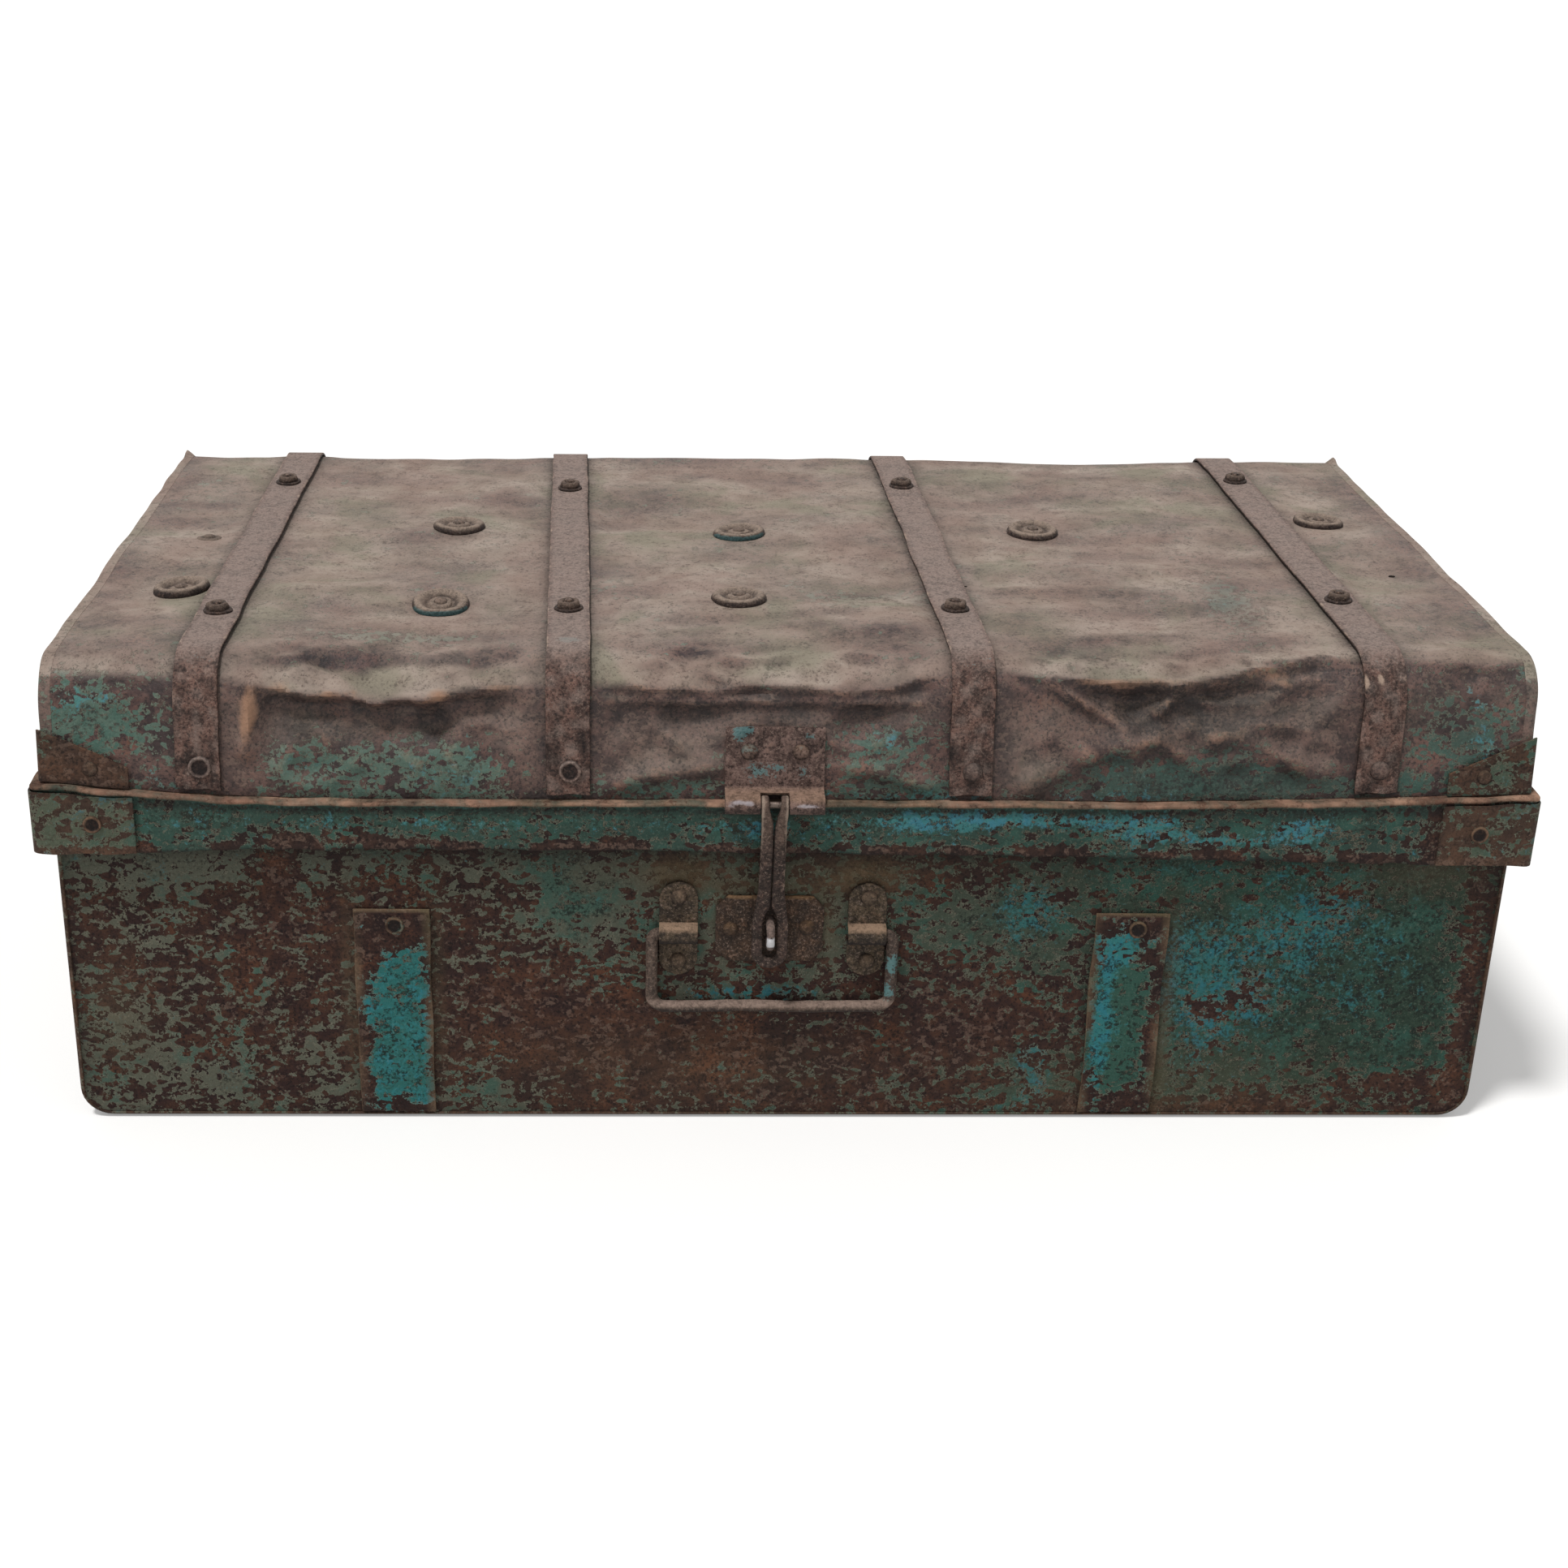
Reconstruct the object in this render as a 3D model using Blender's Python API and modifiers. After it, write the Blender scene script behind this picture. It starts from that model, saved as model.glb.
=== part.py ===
"""Sheet-steel travelling trunk with a hinged lid, a hasp and staple, and a drop handle.

The tub is a wrap sheet (end, bottom, end) closed by a front and a back pan whose flanges lap
over it. The lid is a wrap sheet (front, top, back) closed by two end pans, standing on a
joggled band: an upstand inside the lid, a ledge that rests on the tub's rolled rim, and a skirt
that hangs over the tub's walls. Straps, corner patches, battens and locking hardware are
riveted or bolted on. Metres, +Z up, the front towards -Y, the floor at Z = 0.
"""

import math

import bmesh
import bpy
from mathutils import Matrix, Vector

# Clearances and sheet
SEAT_GAP = 0.0003
SHEET = 0.0011
CUT_OVERRUN = 0.004
ROOT_SINK = 0.0006
ARC_STEPS = 6
ROUND_SIDES = 16
RIVET_SIDES = 12
SHARP = math.radians(40)

# Tub
BODY_WIDTH = 0.744
BODY_DEPTH = 0.411
BODY_TOP = 0.192
END_BEND = 0.015
SEAM_FLANGE = 0.006
FOLD_RADIUS = 0.0016
BEAD_RADIUS = 0.0023

# Lid band: ledge, lip and skirt
RIM_CLEARANCE = 0.0083
LEDGE_WIDTH = 0.005
LIP_REACH = 0.0007
LIP_HEIGHT = 0.0026
LIP_RELIEF = 0.0007
UPSTAND = 0.009
SKIRT_DROP = 0.0366
BAND_CORNER = 0.0035

# Lid
LID_HEIGHT = 0.0648
LID_BEND = 0.024
LID_LEAN = math.radians(6.5)

# Straps over the lid, four of them, slightly askew
STRAP_WIDTH = 0.022
STRAP_THICKNESS = 0.0018
STRAP_FOOT = 0.003
STRAP_RIVET_RISE = 0.011
STRAP_FRONT_SHARES = (-0.398, -0.154, 0.116, 0.394)
STRAP_BACK_SHARES = (-0.397, -0.172, 0.103, 0.390)

# Bolts through the straps
BOLT_FRONT_SHARES = (-0.317, -0.302, -0.301, -0.262)
BOLT_BACK_SHARES = (0.265, 0.239, 0.264, 0.300)
BOLT_RADIUS = 0.0025
BOLT_HOLE_CLEARANCE = 0.0003
BOLT_WASHER_RADIUS = 0.0075
BOLT_WASHER_THICKNESS = 0.0012
NUT_RADIUS = 0.0062
NUT_HEIGHT = 0.0042
NUT_SIDES = 6
BOLT_END = 0.0014
BOLT_HEAD_RADIUS = 0.0058
BOLT_HEAD_HEIGHT = 0.0022

# Dished washers riveted on the lid's top: each one's bay between the straps, counted from the
# left end, and its place as a share across the bay's room and of the lid's depth
CAP_BAYS = (0, 1, 1, 2, 2, 3, 4)
CAP_SHARES = (
    (1.0, -0.203),
    (0.699, 0.05),
    (0.682, -0.266),
    (0.471, 0.033),
    (0.423, -0.253),
    (0.254, 0.062),
    (0.127, 0.109),
)
CAP_CLEARANCE = 0.002
CAP_RADIUS = 0.015
CAP_HEIGHT = 0.0042
CAP_RIM = 0.0024
CAP_CROWN = 0.0014
CAP_DISH = 0.0016
CAP_RIVET_RADIUS = 0.0042
CAP_RIVET_HEIGHT = 0.0014
CAP_SIDES = 20

# Corner patches
PATCH_THICKNESS = 0.001
SKIRT_PATCH_LEG = 0.050
SKIRT_PATCH_RIVET = 0.031
LID_PATCH_LEG = 0.043
LID_PATCH_HEIGHT = 0.028
LID_PATCH_FALL = 0.017
LID_PATCH_RIVET = 0.024
LID_PATCH_RIVET_RISE = 0.009

# Battens round the tub's front, bottom and back
BATTEN_SHARES = (-0.278, 0.239)
BATTEN_WIDTH = 0.039
BATTEN_THICKNESS = 0.0016
BATTEN_TOP_SHARE = 0.646
BATTEN_RIVET_DROP = 0.009

# Rivet heads
RIVET_RADIUS = 0.0044
RIVET_HEIGHT = 0.0018
RIVET_FACE_SHARE = 0.55

# Hasp: plate on the lid, pin and folded arm
HASP_SHARE = -0.0165
HASP_PLATE_WIDTH = 0.050
HASP_PLATE_HEIGHT = 0.034
HASP_PLATE_THICKNESS = 0.0016
HASP_RIVET_SPREAD = 0.013
HASP_RIVET_DROP = 0.011
KNUCKLE_RADIUS = 0.0048
PIN_RADIUS = 0.0018
PIN_CLEARANCE = 0.0003
HASP_AXIS_DROP = 0.0037
LIP_CLEARANCE = 0.0004
ARM_WIDTH = 0.0141
ARM_THICKNESS = 0.004
ARM_ROUND = 0.0015
ARM_SHARP = math.radians(50)
SEAM_WIDTH = 0.0009
SEAM_DEPTH = 0.0013
ARM_STRAIGHT = 0.020
ARM_END_WIDTH = 0.0188
ARM_END_THICKNESS = 0.003
ARM_END_BELOW = 0.0205
ARM_END_ABOVE = 0.0155
ARM_STANDOFF = 0.0026
SLOT_WIDTH = 0.0076
SLOT_ABOVE = 0.0122
SLOT_BELOW = 0.0148
NOTCH_WIDTH = 0.0066
NOTCH_DEPTH = 0.0062

# Staple and its plate on the tub
STAPLE_DROP = 0.078
STAPLE_PLATE_WIDTH = 0.056
STAPLE_PLATE_HEIGHT = 0.0376
STAPLE_PLATE_THICKNESS = 0.0014
STAPLE_PLATE_CORNER = 0.0062
STAPLE_RIVET_SPREAD = 0.0204
STAPLE_WIRE = 0.0021
STAPLE_RISE = 0.0053
STAPLE_PASS = 0.0065
STAPLE_TAIL = 0.0025
STAPLE_HOLE_CLEARANCE = 0.0003

# Drop handle
HANDLE_SHARE = -0.0142
HANDLE_DROP = 0.080
BAIL_WIRE = 0.0031
BAIL_SIDE_GAP = 0.0006
BAIL_FALL = 0.0423
BAIL_CORNER = 0.006
BAIL_TAIL = 0.0195
BAIL_WALL_GAP = 0.0006
BAIL_CLEARANCE = 0.0005
BRACKET_SPREAD = 0.0978
BRACKET_WIDTH = 0.020
BRACKET_THICKNESS = 0.0018
BRACKET_ABOVE = 0.0288
BRACKET_BELOW = 0.0247
BRACKET_RIVET_INSET = 0.0085

# Back hinges
HINGE_SHARE = 0.36
HINGE_WIDTH = 0.050
HINGE_THICKNESS = 0.0015
HINGE_KNUCKLE = 0.004
HINGE_PIN = 0.0019
HINGE_MIDDLE = 0.020
HINGE_LID_LEAF = 0.027
HINGE_BASE_LEAF = 0.034
HINGE_JOG = 0.011
HINGE_RIVET_SPREAD = 0.014
HINGE_RIVET_INSET = 0.008
HINGE_DROP = 0.0042

# Places worked out from the sizes above
BODY_BOTTOM = BATTEN_THICKNESS + SEAT_GAP
BAND_WIDTH = BODY_WIDTH + 2 * RIM_CLEARANCE
BAND_DEPTH = BODY_DEPTH + 2 * RIM_CLEARANCE
LEDGE_TOP = BODY_TOP + SEAT_GAP + SHEET
BAND_BOTTOM = LEDGE_TOP - SKIRT_DROP
LID_WIDTH = BAND_WIDTH - 2 * LEDGE_WIDTH
LID_DEPTH = BAND_DEPTH - 2 * LEDGE_WIDTH
LID_FOOT = LEDGE_TOP + SEAT_GAP
LID_TOP = LEDGE_TOP + LID_HEIGHT
FRONT_FACE = -BODY_DEPTH / 2
LIP_FRONT = -BAND_DEPTH / 2 - LIP_REACH

parts = None
cutters = None


# Finishes

FINISHES = {
    "tub_paint": ((0.075, 0.105, 0.090), 0.72, 0.15),
    "lid_paint": ((0.135, 0.125, 0.105), 0.80, 0.10),
    "band_paint": ((0.080, 0.125, 0.115), 0.70, 0.15),
    "strap_iron": ((0.110, 0.090, 0.080), 0.70, 0.45),
    "hardware_iron": ((0.095, 0.075, 0.062), 0.66, 0.50),
    "worn_steel": ((0.300, 0.270, 0.250), 0.40, 0.85),
}


def finish_material(name):
    """The painted or bare metal of one kind of piece, made once."""
    material = bpy.data.materials.get(name)
    if material:
        return material
    colour, roughness, metallic = FINISHES[name]
    material = bpy.data.materials.new(name)
    material.use_nodes = True
    shader = material.node_tree.nodes["Principled BSDF"]
    shader.inputs["Base Color"].default_value = (*colour, 1.0)
    shader.inputs["Roughness"].default_value = roughness
    shader.inputs["Metallic"].default_value = metallic
    material.diffuse_color = (*colour, 1.0)
    return material


# Making objects

def start_scene():
    """Empty the scene and make one collection for the parts and one for the cutters."""
    global parts, cutters
    for old in list(bpy.data.objects):
        bpy.data.objects.remove(old)
    parts = bpy.data.collections.new("steel_trunk")
    cutters = bpy.data.collections.new("cutters")
    bpy.context.scene.collection.children.link(parts)
    bpy.context.scene.collection.children.link(cutters)


def place(name, data, finish):
    """Put a mesh or curve in the parts collection with its finish, or with None in the cutters."""
    item = bpy.data.objects.new(name, data)
    if finish is None:
        cutters.objects.link(item)
        item.hide_render = True
        item.display_type = "WIRE"
        return item
    data.materials.append(finish_material(finish))
    parts.objects.link(item)
    return item


def mesh_of(form, name):
    """Turn a bmesh into a mesh and free it."""
    mesh = bpy.data.meshes.new(name)
    form.to_mesh(mesh)
    form.free()
    return mesh


def arc(centre, radius, start, end, steps=ARC_STEPS):
    """Points of a circular arc in a plane, from one angle to another."""
    points = []
    for step in range(steps + 1):
        angle = start + (end - start) * step / steps
        points.append((centre[0] + radius * math.cos(angle), centre[1] + radius * math.sin(angle)))
    return points


def in_yz(points, x=0.0):
    """Plane points as places across the trunk's side view."""
    return [Vector((x, y, z)) for y, z in points]


def in_xz(points, y=0.0):
    """Plane points as places in the trunk's front view."""
    return [Vector((x, y, z)) for x, z in points]


def add_solidify(item, thickness, side):
    """Give a surface its thickness on the side its faces look to (1) or away from (-1)."""
    solid = item.modifiers.new("thickness", "SOLIDIFY")
    solid.thickness = thickness
    solid.offset = side
    solid.use_even_offset = True


def add_bevel(item, width, segments=2, angle=SHARP):
    """Round every edge sharper than the angle."""
    bevel = item.modifiers.new("rounding", "BEVEL")
    bevel.width = width
    bevel.segments = segments
    bevel.limit_method = "ANGLE"
    bevel.angle_limit = angle


def bent_sheet(name, path, across, thickness, side, finish):
    """A strip of sheet: a path swept straight across, thickened along its normal or against it.

    The normal is the path's direction crossed with the sweep.
    """
    form = bmesh.new()
    near = [form.verts.new(point) for point in path]
    far = [form.verts.new(point + across) for point in path]
    for index in range(len(path) - 1):
        form.faces.new((near[index], near[index + 1], far[index + 1], far[index]))
    item = place(name, mesh_of(form, name), finish)
    add_solidify(item, thickness, side)
    return item


def plate(name, outline, through, finish):
    """A flat piece: an outline carried straight through its thickness."""
    form = bmesh.new()
    face = form.faces.new([form.verts.new(point) for point in outline])
    grown = bmesh.ops.extrude_face_region(form, geom=[face])
    moved = [piece for piece in grown["geom"] if isinstance(piece, bmesh.types.BMVert)]
    bmesh.ops.translate(form, verts=moved, vec=through)
    bmesh.ops.recalc_face_normals(form, faces=form.faces)
    return place(name, mesh_of(form, name), finish)


def pan(name, edge, flange, thickness, finish):
    """A flat panel whose edge path is folded back into a flange, open along its straight side."""
    form = bmesh.new()
    verts = [form.verts.new(point) for point in edge]
    face = form.faces.new(verts)
    folded = [shared_edge(a, b) for a, b in zip(verts, verts[1:])]
    swept = bmesh.ops.extrude_edge_only(form, edges=folded)
    moved = [piece for piece in swept["geom"] if isinstance(piece, bmesh.types.BMVert)]
    bmesh.ops.translate(form, verts=moved, vec=flange)
    bmesh.ops.recalc_face_normals(form, faces=form.faces)
    face.normal_update()
    if face.normal.dot(flange) > 0:
        bmesh.ops.reverse_faces(form, faces=form.faces)
    item = place(name, mesh_of(form, name), finish)
    add_bevel(item, FOLD_RADIUS)
    add_solidify(item, thickness, -1)
    return item


def shared_edge(first, second):
    """The edge between two neighbouring vertices."""
    return next(edge for edge in first.link_edges if second in edge.verts)


def rod(name, start, end, radius, finish, sides=ROUND_SIDES):
    """A straight round bar between two points."""
    run = end - start
    turn = run.to_track_quat("Z", "Y").to_matrix().to_4x4()
    form = bmesh.new()
    bmesh.ops.create_cone(
        form,
        cap_ends=True,
        segments=sides,
        radius1=radius,
        radius2=radius,
        depth=run.length,
        matrix=Matrix.Translation((start + end) / 2) @ turn,
    )
    return place(name, mesh_of(form, name), finish)


def block(name, low, high, finish=None):
    """A box between two corners."""
    form = bmesh.new()
    bmesh.ops.create_cube(form, size=1.0)
    for vert in form.verts:
        for axis in range(3):
            vert.co[axis] = low[axis] if vert.co[axis] < 0 else high[axis]
    return place(name, mesh_of(form, name), finish)


def turned(name, profile, steps, finish):
    """A turned shape about Z: a profile of radius and height, run from top to bottom."""
    form = bmesh.new()
    verts = [form.verts.new((radius, 0.0, height)) for radius, height in profile]
    for pair in zip(verts, verts[1:]):
        form.edges.new(pair)
    item = place(name, mesh_of(form, name), finish)
    screw = item.modifiers.new("turning", "SCREW")
    screw.steps = steps
    screw.render_steps = steps
    screw.use_merge_vertices = True
    screw.merge_threshold = ROOT_SINK / steps**2
    return item


def wire(name, points, radius, finish, resolution=2):
    """A bent round wire through the points."""
    curve = bpy.data.curves.new(name, "CURVE")
    curve.dimensions = "3D"
    curve.bevel_depth = radius
    curve.bevel_resolution = resolution
    curve.use_fill_caps = True
    spline = curve.splines.new("POLY")
    spline.points.add(len(points) - 1)
    for knot, point in zip(spline.points, points):
        knot.co = (*point, 1.0)
    return place(name, curve, finish)


def combine(target, tool, operation):
    """Join, cut or intersect a piece with a tool that stays hidden."""
    boolean = target.modifiers.new(operation.lower(), "BOOLEAN")
    boolean.operation = operation
    boolean.solver = "EXACT"
    boolean.object = tool
    return target


def shear(item, share, datum):
    """Lean a piece along Y in proportion to its height over the datum."""
    lean = Matrix.Identity(4)
    lean[1][2] = share
    lean[1][3] = -share * datum
    item.data.transform(lean)


def rivet_on(target, centre, normal):
    """Set a low domed rivet head on a piece's face, and make it part of that piece."""
    face = RIVET_RADIUS * RIVET_FACE_SHARE
    shoulder = RIVET_HEIGHT / 2
    profile = (
        (0.0, RIVET_HEIGHT),
        (face, RIVET_HEIGHT),
        ((face + RIVET_RADIUS) / 2, (RIVET_HEIGHT + shoulder) / 2),
        (RIVET_RADIUS, shoulder),
        (RIVET_RADIUS, -ROOT_SINK),
        (0.0, -ROOT_SINK),
    )
    head = turned(target.name + "_rivet", profile, RIVET_SIDES, None)
    head.location = centre
    head.rotation_mode = "QUATERNION"
    head.rotation_quaternion = normal.to_track_quat("Z", "Y")
    combine(target, head, "UNION")


# Tub

def tub_edge(inset, top):
    """The tub's front view: down one end, along the bottom and up the other."""
    half = BODY_WIDTH / 2 - inset
    low = BODY_BOTTOM + inset
    bend = END_BEND - inset
    left = arc((-half + bend, low + bend), bend, math.pi, 1.5 * math.pi)
    right = arc((half - bend, low + bend), bend, 1.5 * math.pi, 2 * math.pi)
    return [(-half, top), *left, *right, (half, top)]


def make_tub():
    """Wrap sheet, front and back pans, and the rolled rim."""
    lap = SHEET + SEAT_GAP
    inner_front = FRONT_FACE + lap
    bent_sheet(
        "tub_wrap",
        in_xz(tub_edge(lap, BODY_TOP), inner_front),
        Vector((0.0, -2 * inner_front, 0.0)),
        SHEET,
        1,
        "tub_paint",
    )
    front_edge = in_xz(tub_edge(0.0, BODY_TOP), FRONT_FACE)
    pan("tub_front", front_edge, Vector((0.0, SEAM_FLANGE, 0.0)), SHEET, "tub_paint")
    back_edge = in_xz(tub_edge(0.0, BODY_TOP), -FRONT_FACE)
    pan("tub_back", back_edge, Vector((0.0, -SEAM_FLANGE, 0.0)), SHEET, "tub_paint")
    make_rim()


def make_rim():
    """The tub's top edge rolled over a wire: a bead along each side, just outside the sheets."""
    out = BEAD_RADIUS + SEAT_GAP
    height = BODY_TOP - BEAD_RADIUS
    for word, side in (("front", -1), ("back", 1)):
        y = side * (BODY_DEPTH / 2 + out)
        start = Vector((-BODY_WIDTH / 2 - out, y, height))
        end = Vector((BODY_WIDTH / 2 + out, y, height))
        rod("rim_bead_" + word, start, end, BEAD_RADIUS, "tub_paint")
    for word, side in (("left", -1), ("right", 1)):
        x = side * (BODY_WIDTH / 2 + out)
        start = Vector((x, -BODY_DEPTH / 2, height))
        end = Vector((x, BODY_DEPTH / 2, height))
        rod("rim_bead_" + word, start, end, BEAD_RADIUS, "tub_paint")


def make_battens():
    """Two flat battens riveted round the front, bottom and back of the tub as skids."""
    front = FRONT_FACE - SEAT_GAP
    low = BODY_BOTTOM - SEAT_GAP
    top = BODY_TOP * BATTEN_TOP_SHARE
    turn = FOLD_RADIUS + SEAT_GAP
    steps = ARC_STEPS // 2
    round_front = arc((front + turn, low + turn), turn, math.pi, 1.5 * math.pi, steps)
    round_back = arc((-front - turn, low + turn), turn, 1.5 * math.pi, 2 * math.pi, steps)
    path = [(front, top), *round_front, *round_back, (-front, top)]
    for name, share in zip(("batten_left", "batten_right"), BATTEN_SHARES):
        centre = BODY_WIDTH * share
        strip = bent_sheet(
            name,
            in_yz(path, centre - BATTEN_WIDTH / 2),
            Vector((BATTEN_WIDTH, 0.0, 0.0)),
            BATTEN_THICKNESS,
            1,
            "tub_paint",
        )
        reach = -front + BATTEN_THICKNESS
        for side in (-1, 1):
            spot = Vector((centre, side * reach, top - BATTEN_RIVET_DROP))
            rivet_on(strip, spot, Vector((0.0, side, 0.0)))


# Lid

def lid_wall_y(height, offset):
    """How far back the lid's leaning front wall stands at a height, moved out by an offset."""
    rise = (height - LID_FOOT) * math.tan(LID_LEAN)
    return -LID_DEPTH / 2 - offset / math.cos(LID_LEAN) + rise


def lid_bend_centre():
    """The centre of the front bend, tangent to the leaning wall and the flat top."""
    high = LID_TOP - LID_BEND
    run = (high + LID_BEND * math.sin(LID_LEAN) - LID_FOOT) / math.cos(LID_LEAN)
    deep = -LID_DEPTH / 2 + run * math.sin(LID_LEAN) + LID_BEND * math.cos(LID_LEAN)
    return deep, high


def lid_path(offset, foot):
    """The lid's side view from the front foot over the top to the back foot, moved out."""
    centre = lid_bend_centre()
    bend = arc(centre, LID_BEND + offset, math.pi - LID_LEAN, math.pi / 2)
    front = [(lid_wall_y(foot, offset), foot), *bend]
    back = [(-y, z) for y, z in reversed(front)]
    return front + back


def make_lid():
    """Wrap sheet of front, top and back, and an end pan at each side."""
    inner = LID_WIDTH / 2 - SHEET - SEAT_GAP
    wrap = bent_sheet(
        "lid_wrap",
        in_yz(lid_path(0.0, LID_FOOT), -inner),
        Vector((2 * inner, 0.0, 0.0)),
        SHEET,
        1,
        "lid_paint",
    )
    lap = SHEET + SEAT_GAP
    for name, side in (("lid_end_left", -1), ("lid_end_right", 1)):
        edge = in_yz(lid_path(lap, LID_FOOT), side * LID_WIDTH / 2)
        pan(name, edge, Vector((-side * SEAM_FLANGE, 0.0, 0.0)), SHEET, "lid_paint")
    return wrap


def rounded_ring(half_width, half_depth, radius, height):
    """Points round a rectangle with rounded corners, at one height."""
    points = []
    corners = ((1, 1, 0), (-1, 1, 1), (-1, -1, 2), (1, -1, 3))
    for side_x, side_y, quarter in corners:
        centre = (side_x * (half_width - radius), side_y * (half_depth - radius))
        start = quarter * math.pi / 2
        for x, y in arc(centre, radius, start, start + math.pi / 2, ARC_STEPS // 2):
            points.append(Vector((x, y, height)))
    return points


def make_band():
    """The ring under the lid: upstand, ledge, rolled lip and skirt in one folded sheet."""
    inside = SHEET + SEAT_GAP
    lean = UPSTAND * math.tan(LID_LEAN)
    lip_low = LEDGE_TOP - LIP_HEIGHT
    steps = (
        (LID_WIDTH / 2 - inside, LID_DEPTH / 2 - inside - lean, LEDGE_TOP + UPSTAND),
        (LID_WIDTH / 2 - inside, LID_DEPTH / 2 - inside, LEDGE_TOP),
        (BAND_WIDTH / 2 + LIP_REACH, BAND_DEPTH / 2 + LIP_REACH, LEDGE_TOP),
        (BAND_WIDTH / 2 + LIP_REACH, BAND_DEPTH / 2 + LIP_REACH, lip_low),
        (BAND_WIDTH / 2, BAND_DEPTH / 2, lip_low - LIP_RELIEF),
        (BAND_WIDTH / 2, BAND_DEPTH / 2, BAND_BOTTOM),
    )
    form = bmesh.new()
    rings = []
    for half_width, half_depth, height in steps:
        ring = rounded_ring(half_width, half_depth, BAND_CORNER, height)
        rings.append([form.verts.new(point) for point in ring])
    for upper, lower in zip(rings, rings[1:]):
        count = len(upper)
        for index in range(count):
            after = (index + 1) % count
            form.faces.new((upper[index], lower[index], lower[after], upper[after]))
    band = place("lid_band", mesh_of(form, "lid_band"), "band_paint")
    add_solidify(band, SHEET, -1)


# Straps and bolts over the lid

def strap_centre(index, y):
    """The X of a strap's middle line at a depth: it runs askew from front to back."""
    front = LID_WIDTH * STRAP_FRONT_SHARES[index]
    back = LID_WIDTH * STRAP_BACK_SHARES[index]
    return front + (back - front) * (y / LID_DEPTH + 0.5)


def make_strap(index):
    """A flat iron strap bent over the lid, riveted at both feet and bolted twice on top."""
    foot = LEDGE_TOP + STRAP_FOOT
    path = lid_path(SEAT_GAP, foot)
    askew = (strap_centre(index, LID_DEPTH) - strap_centre(index, 0.0)) / LID_DEPTH
    left = strap_centre(index, 0.0) - STRAP_WIDTH / 2
    strap = bent_sheet(
        "lid_strap_%d" % (index + 1),
        [Vector((left + askew * y, y, z)) for y, z in path],
        Vector((STRAP_WIDTH, 0.0, 0.0)),
        STRAP_THICKNESS,
        -1,
        "strap_iron",
    )
    height = foot + STRAP_RIVET_RISE
    outer = lid_wall_y(height, SEAT_GAP + STRAP_THICKNESS)
    for side in (1, -1):
        spot = Vector((strap_centre(index, side * outer), side * outer, height))
        rivet_on(strap, spot, Vector((0.0, -side * math.cos(LID_LEAN), math.sin(LID_LEAN))))
    return strap


def bolt_places():
    """The X and Y of each strap bolt, with the strap that it holds."""
    places = []
    for shares in (BOLT_FRONT_SHARES, BOLT_BACK_SHARES):
        for index, share in enumerate(shares):
            y = LID_DEPTH * share
            places.append((index, strap_centre(index, y), y))
    return places


def make_bolt(name, x, y):
    """A bolt with its head inside the lid, and a washer and a nut on the strap."""
    seat = LID_TOP + SEAT_GAP + STRAP_THICKNESS + SEAT_GAP
    nut_low = seat + BOLT_WASHER_THICKNESS
    nut_top = nut_low + NUT_HEIGHT
    under = LID_TOP - SHEET - SEAT_GAP
    profile = (
        (0.0, nut_top + BOLT_END),
        (BOLT_RADIUS, nut_top + BOLT_END / 2),
        (BOLT_RADIUS, nut_low + NUT_HEIGHT / 2),
        (BOLT_WASHER_RADIUS, nut_low),
        (BOLT_WASHER_RADIUS, seat),
        (BOLT_RADIUS, seat),
        (BOLT_RADIUS, under),
        (BOLT_HEAD_RADIUS, under),
        (BOLT_HEAD_RADIUS, under - BOLT_HEAD_HEIGHT / 2),
        (BOLT_RADIUS, under - BOLT_HEAD_HEIGHT),
        (0.0, under - BOLT_HEAD_HEIGHT),
    )
    bolt = turned(name, profile, RIVET_SIDES, "strap_iron")
    bolt.location = (x, y, 0.0)
    nut = rod(
        name + "_nut",
        Vector((x, y, nut_low - BOLT_WASHER_THICKNESS / 2)),
        Vector((x, y, nut_top)),
        NUT_RADIUS,
        None,
        sides=NUT_SIDES,
    )
    combine(bolt, nut, "UNION")


def drill_bolt_holes(straps, wrap):
    """Clear holes for the bolts through each strap and the lid's sheet."""
    for index, x, y in bolt_places():
        low = Vector((x, y, LID_TOP - SHEET - CUT_OVERRUN))
        high = Vector((x, y, LID_TOP + STRAP_THICKNESS + CUT_OVERRUN))
        drill = rod("bolt_drill", low, high, BOLT_RADIUS + BOLT_HOLE_CLEARANCE, None, RIVET_SIDES)
        combine(straps[index], drill, "DIFFERENCE")
        combine(wrap, drill, "DIFFERENCE")


def cap_place(index):
    """The X and Y of a washer, clear of the straps or the end seam beside it."""
    across, deep = CAP_SHARES[index]
    bay = CAP_BAYS[index]
    y = LID_DEPTH * deep
    end = LID_WIDTH / 2 - SEAM_FLANGE
    half = STRAP_WIDTH / 2
    low = -end if bay == 0 else strap_centre(bay - 1, y) + half
    high = end if bay == len(STRAP_FRONT_SHARES) else strap_centre(bay, y) - half
    room = CAP_RADIUS + CAP_CLEARANCE
    return low + room + (high - low - 2 * room) * across, y


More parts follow.
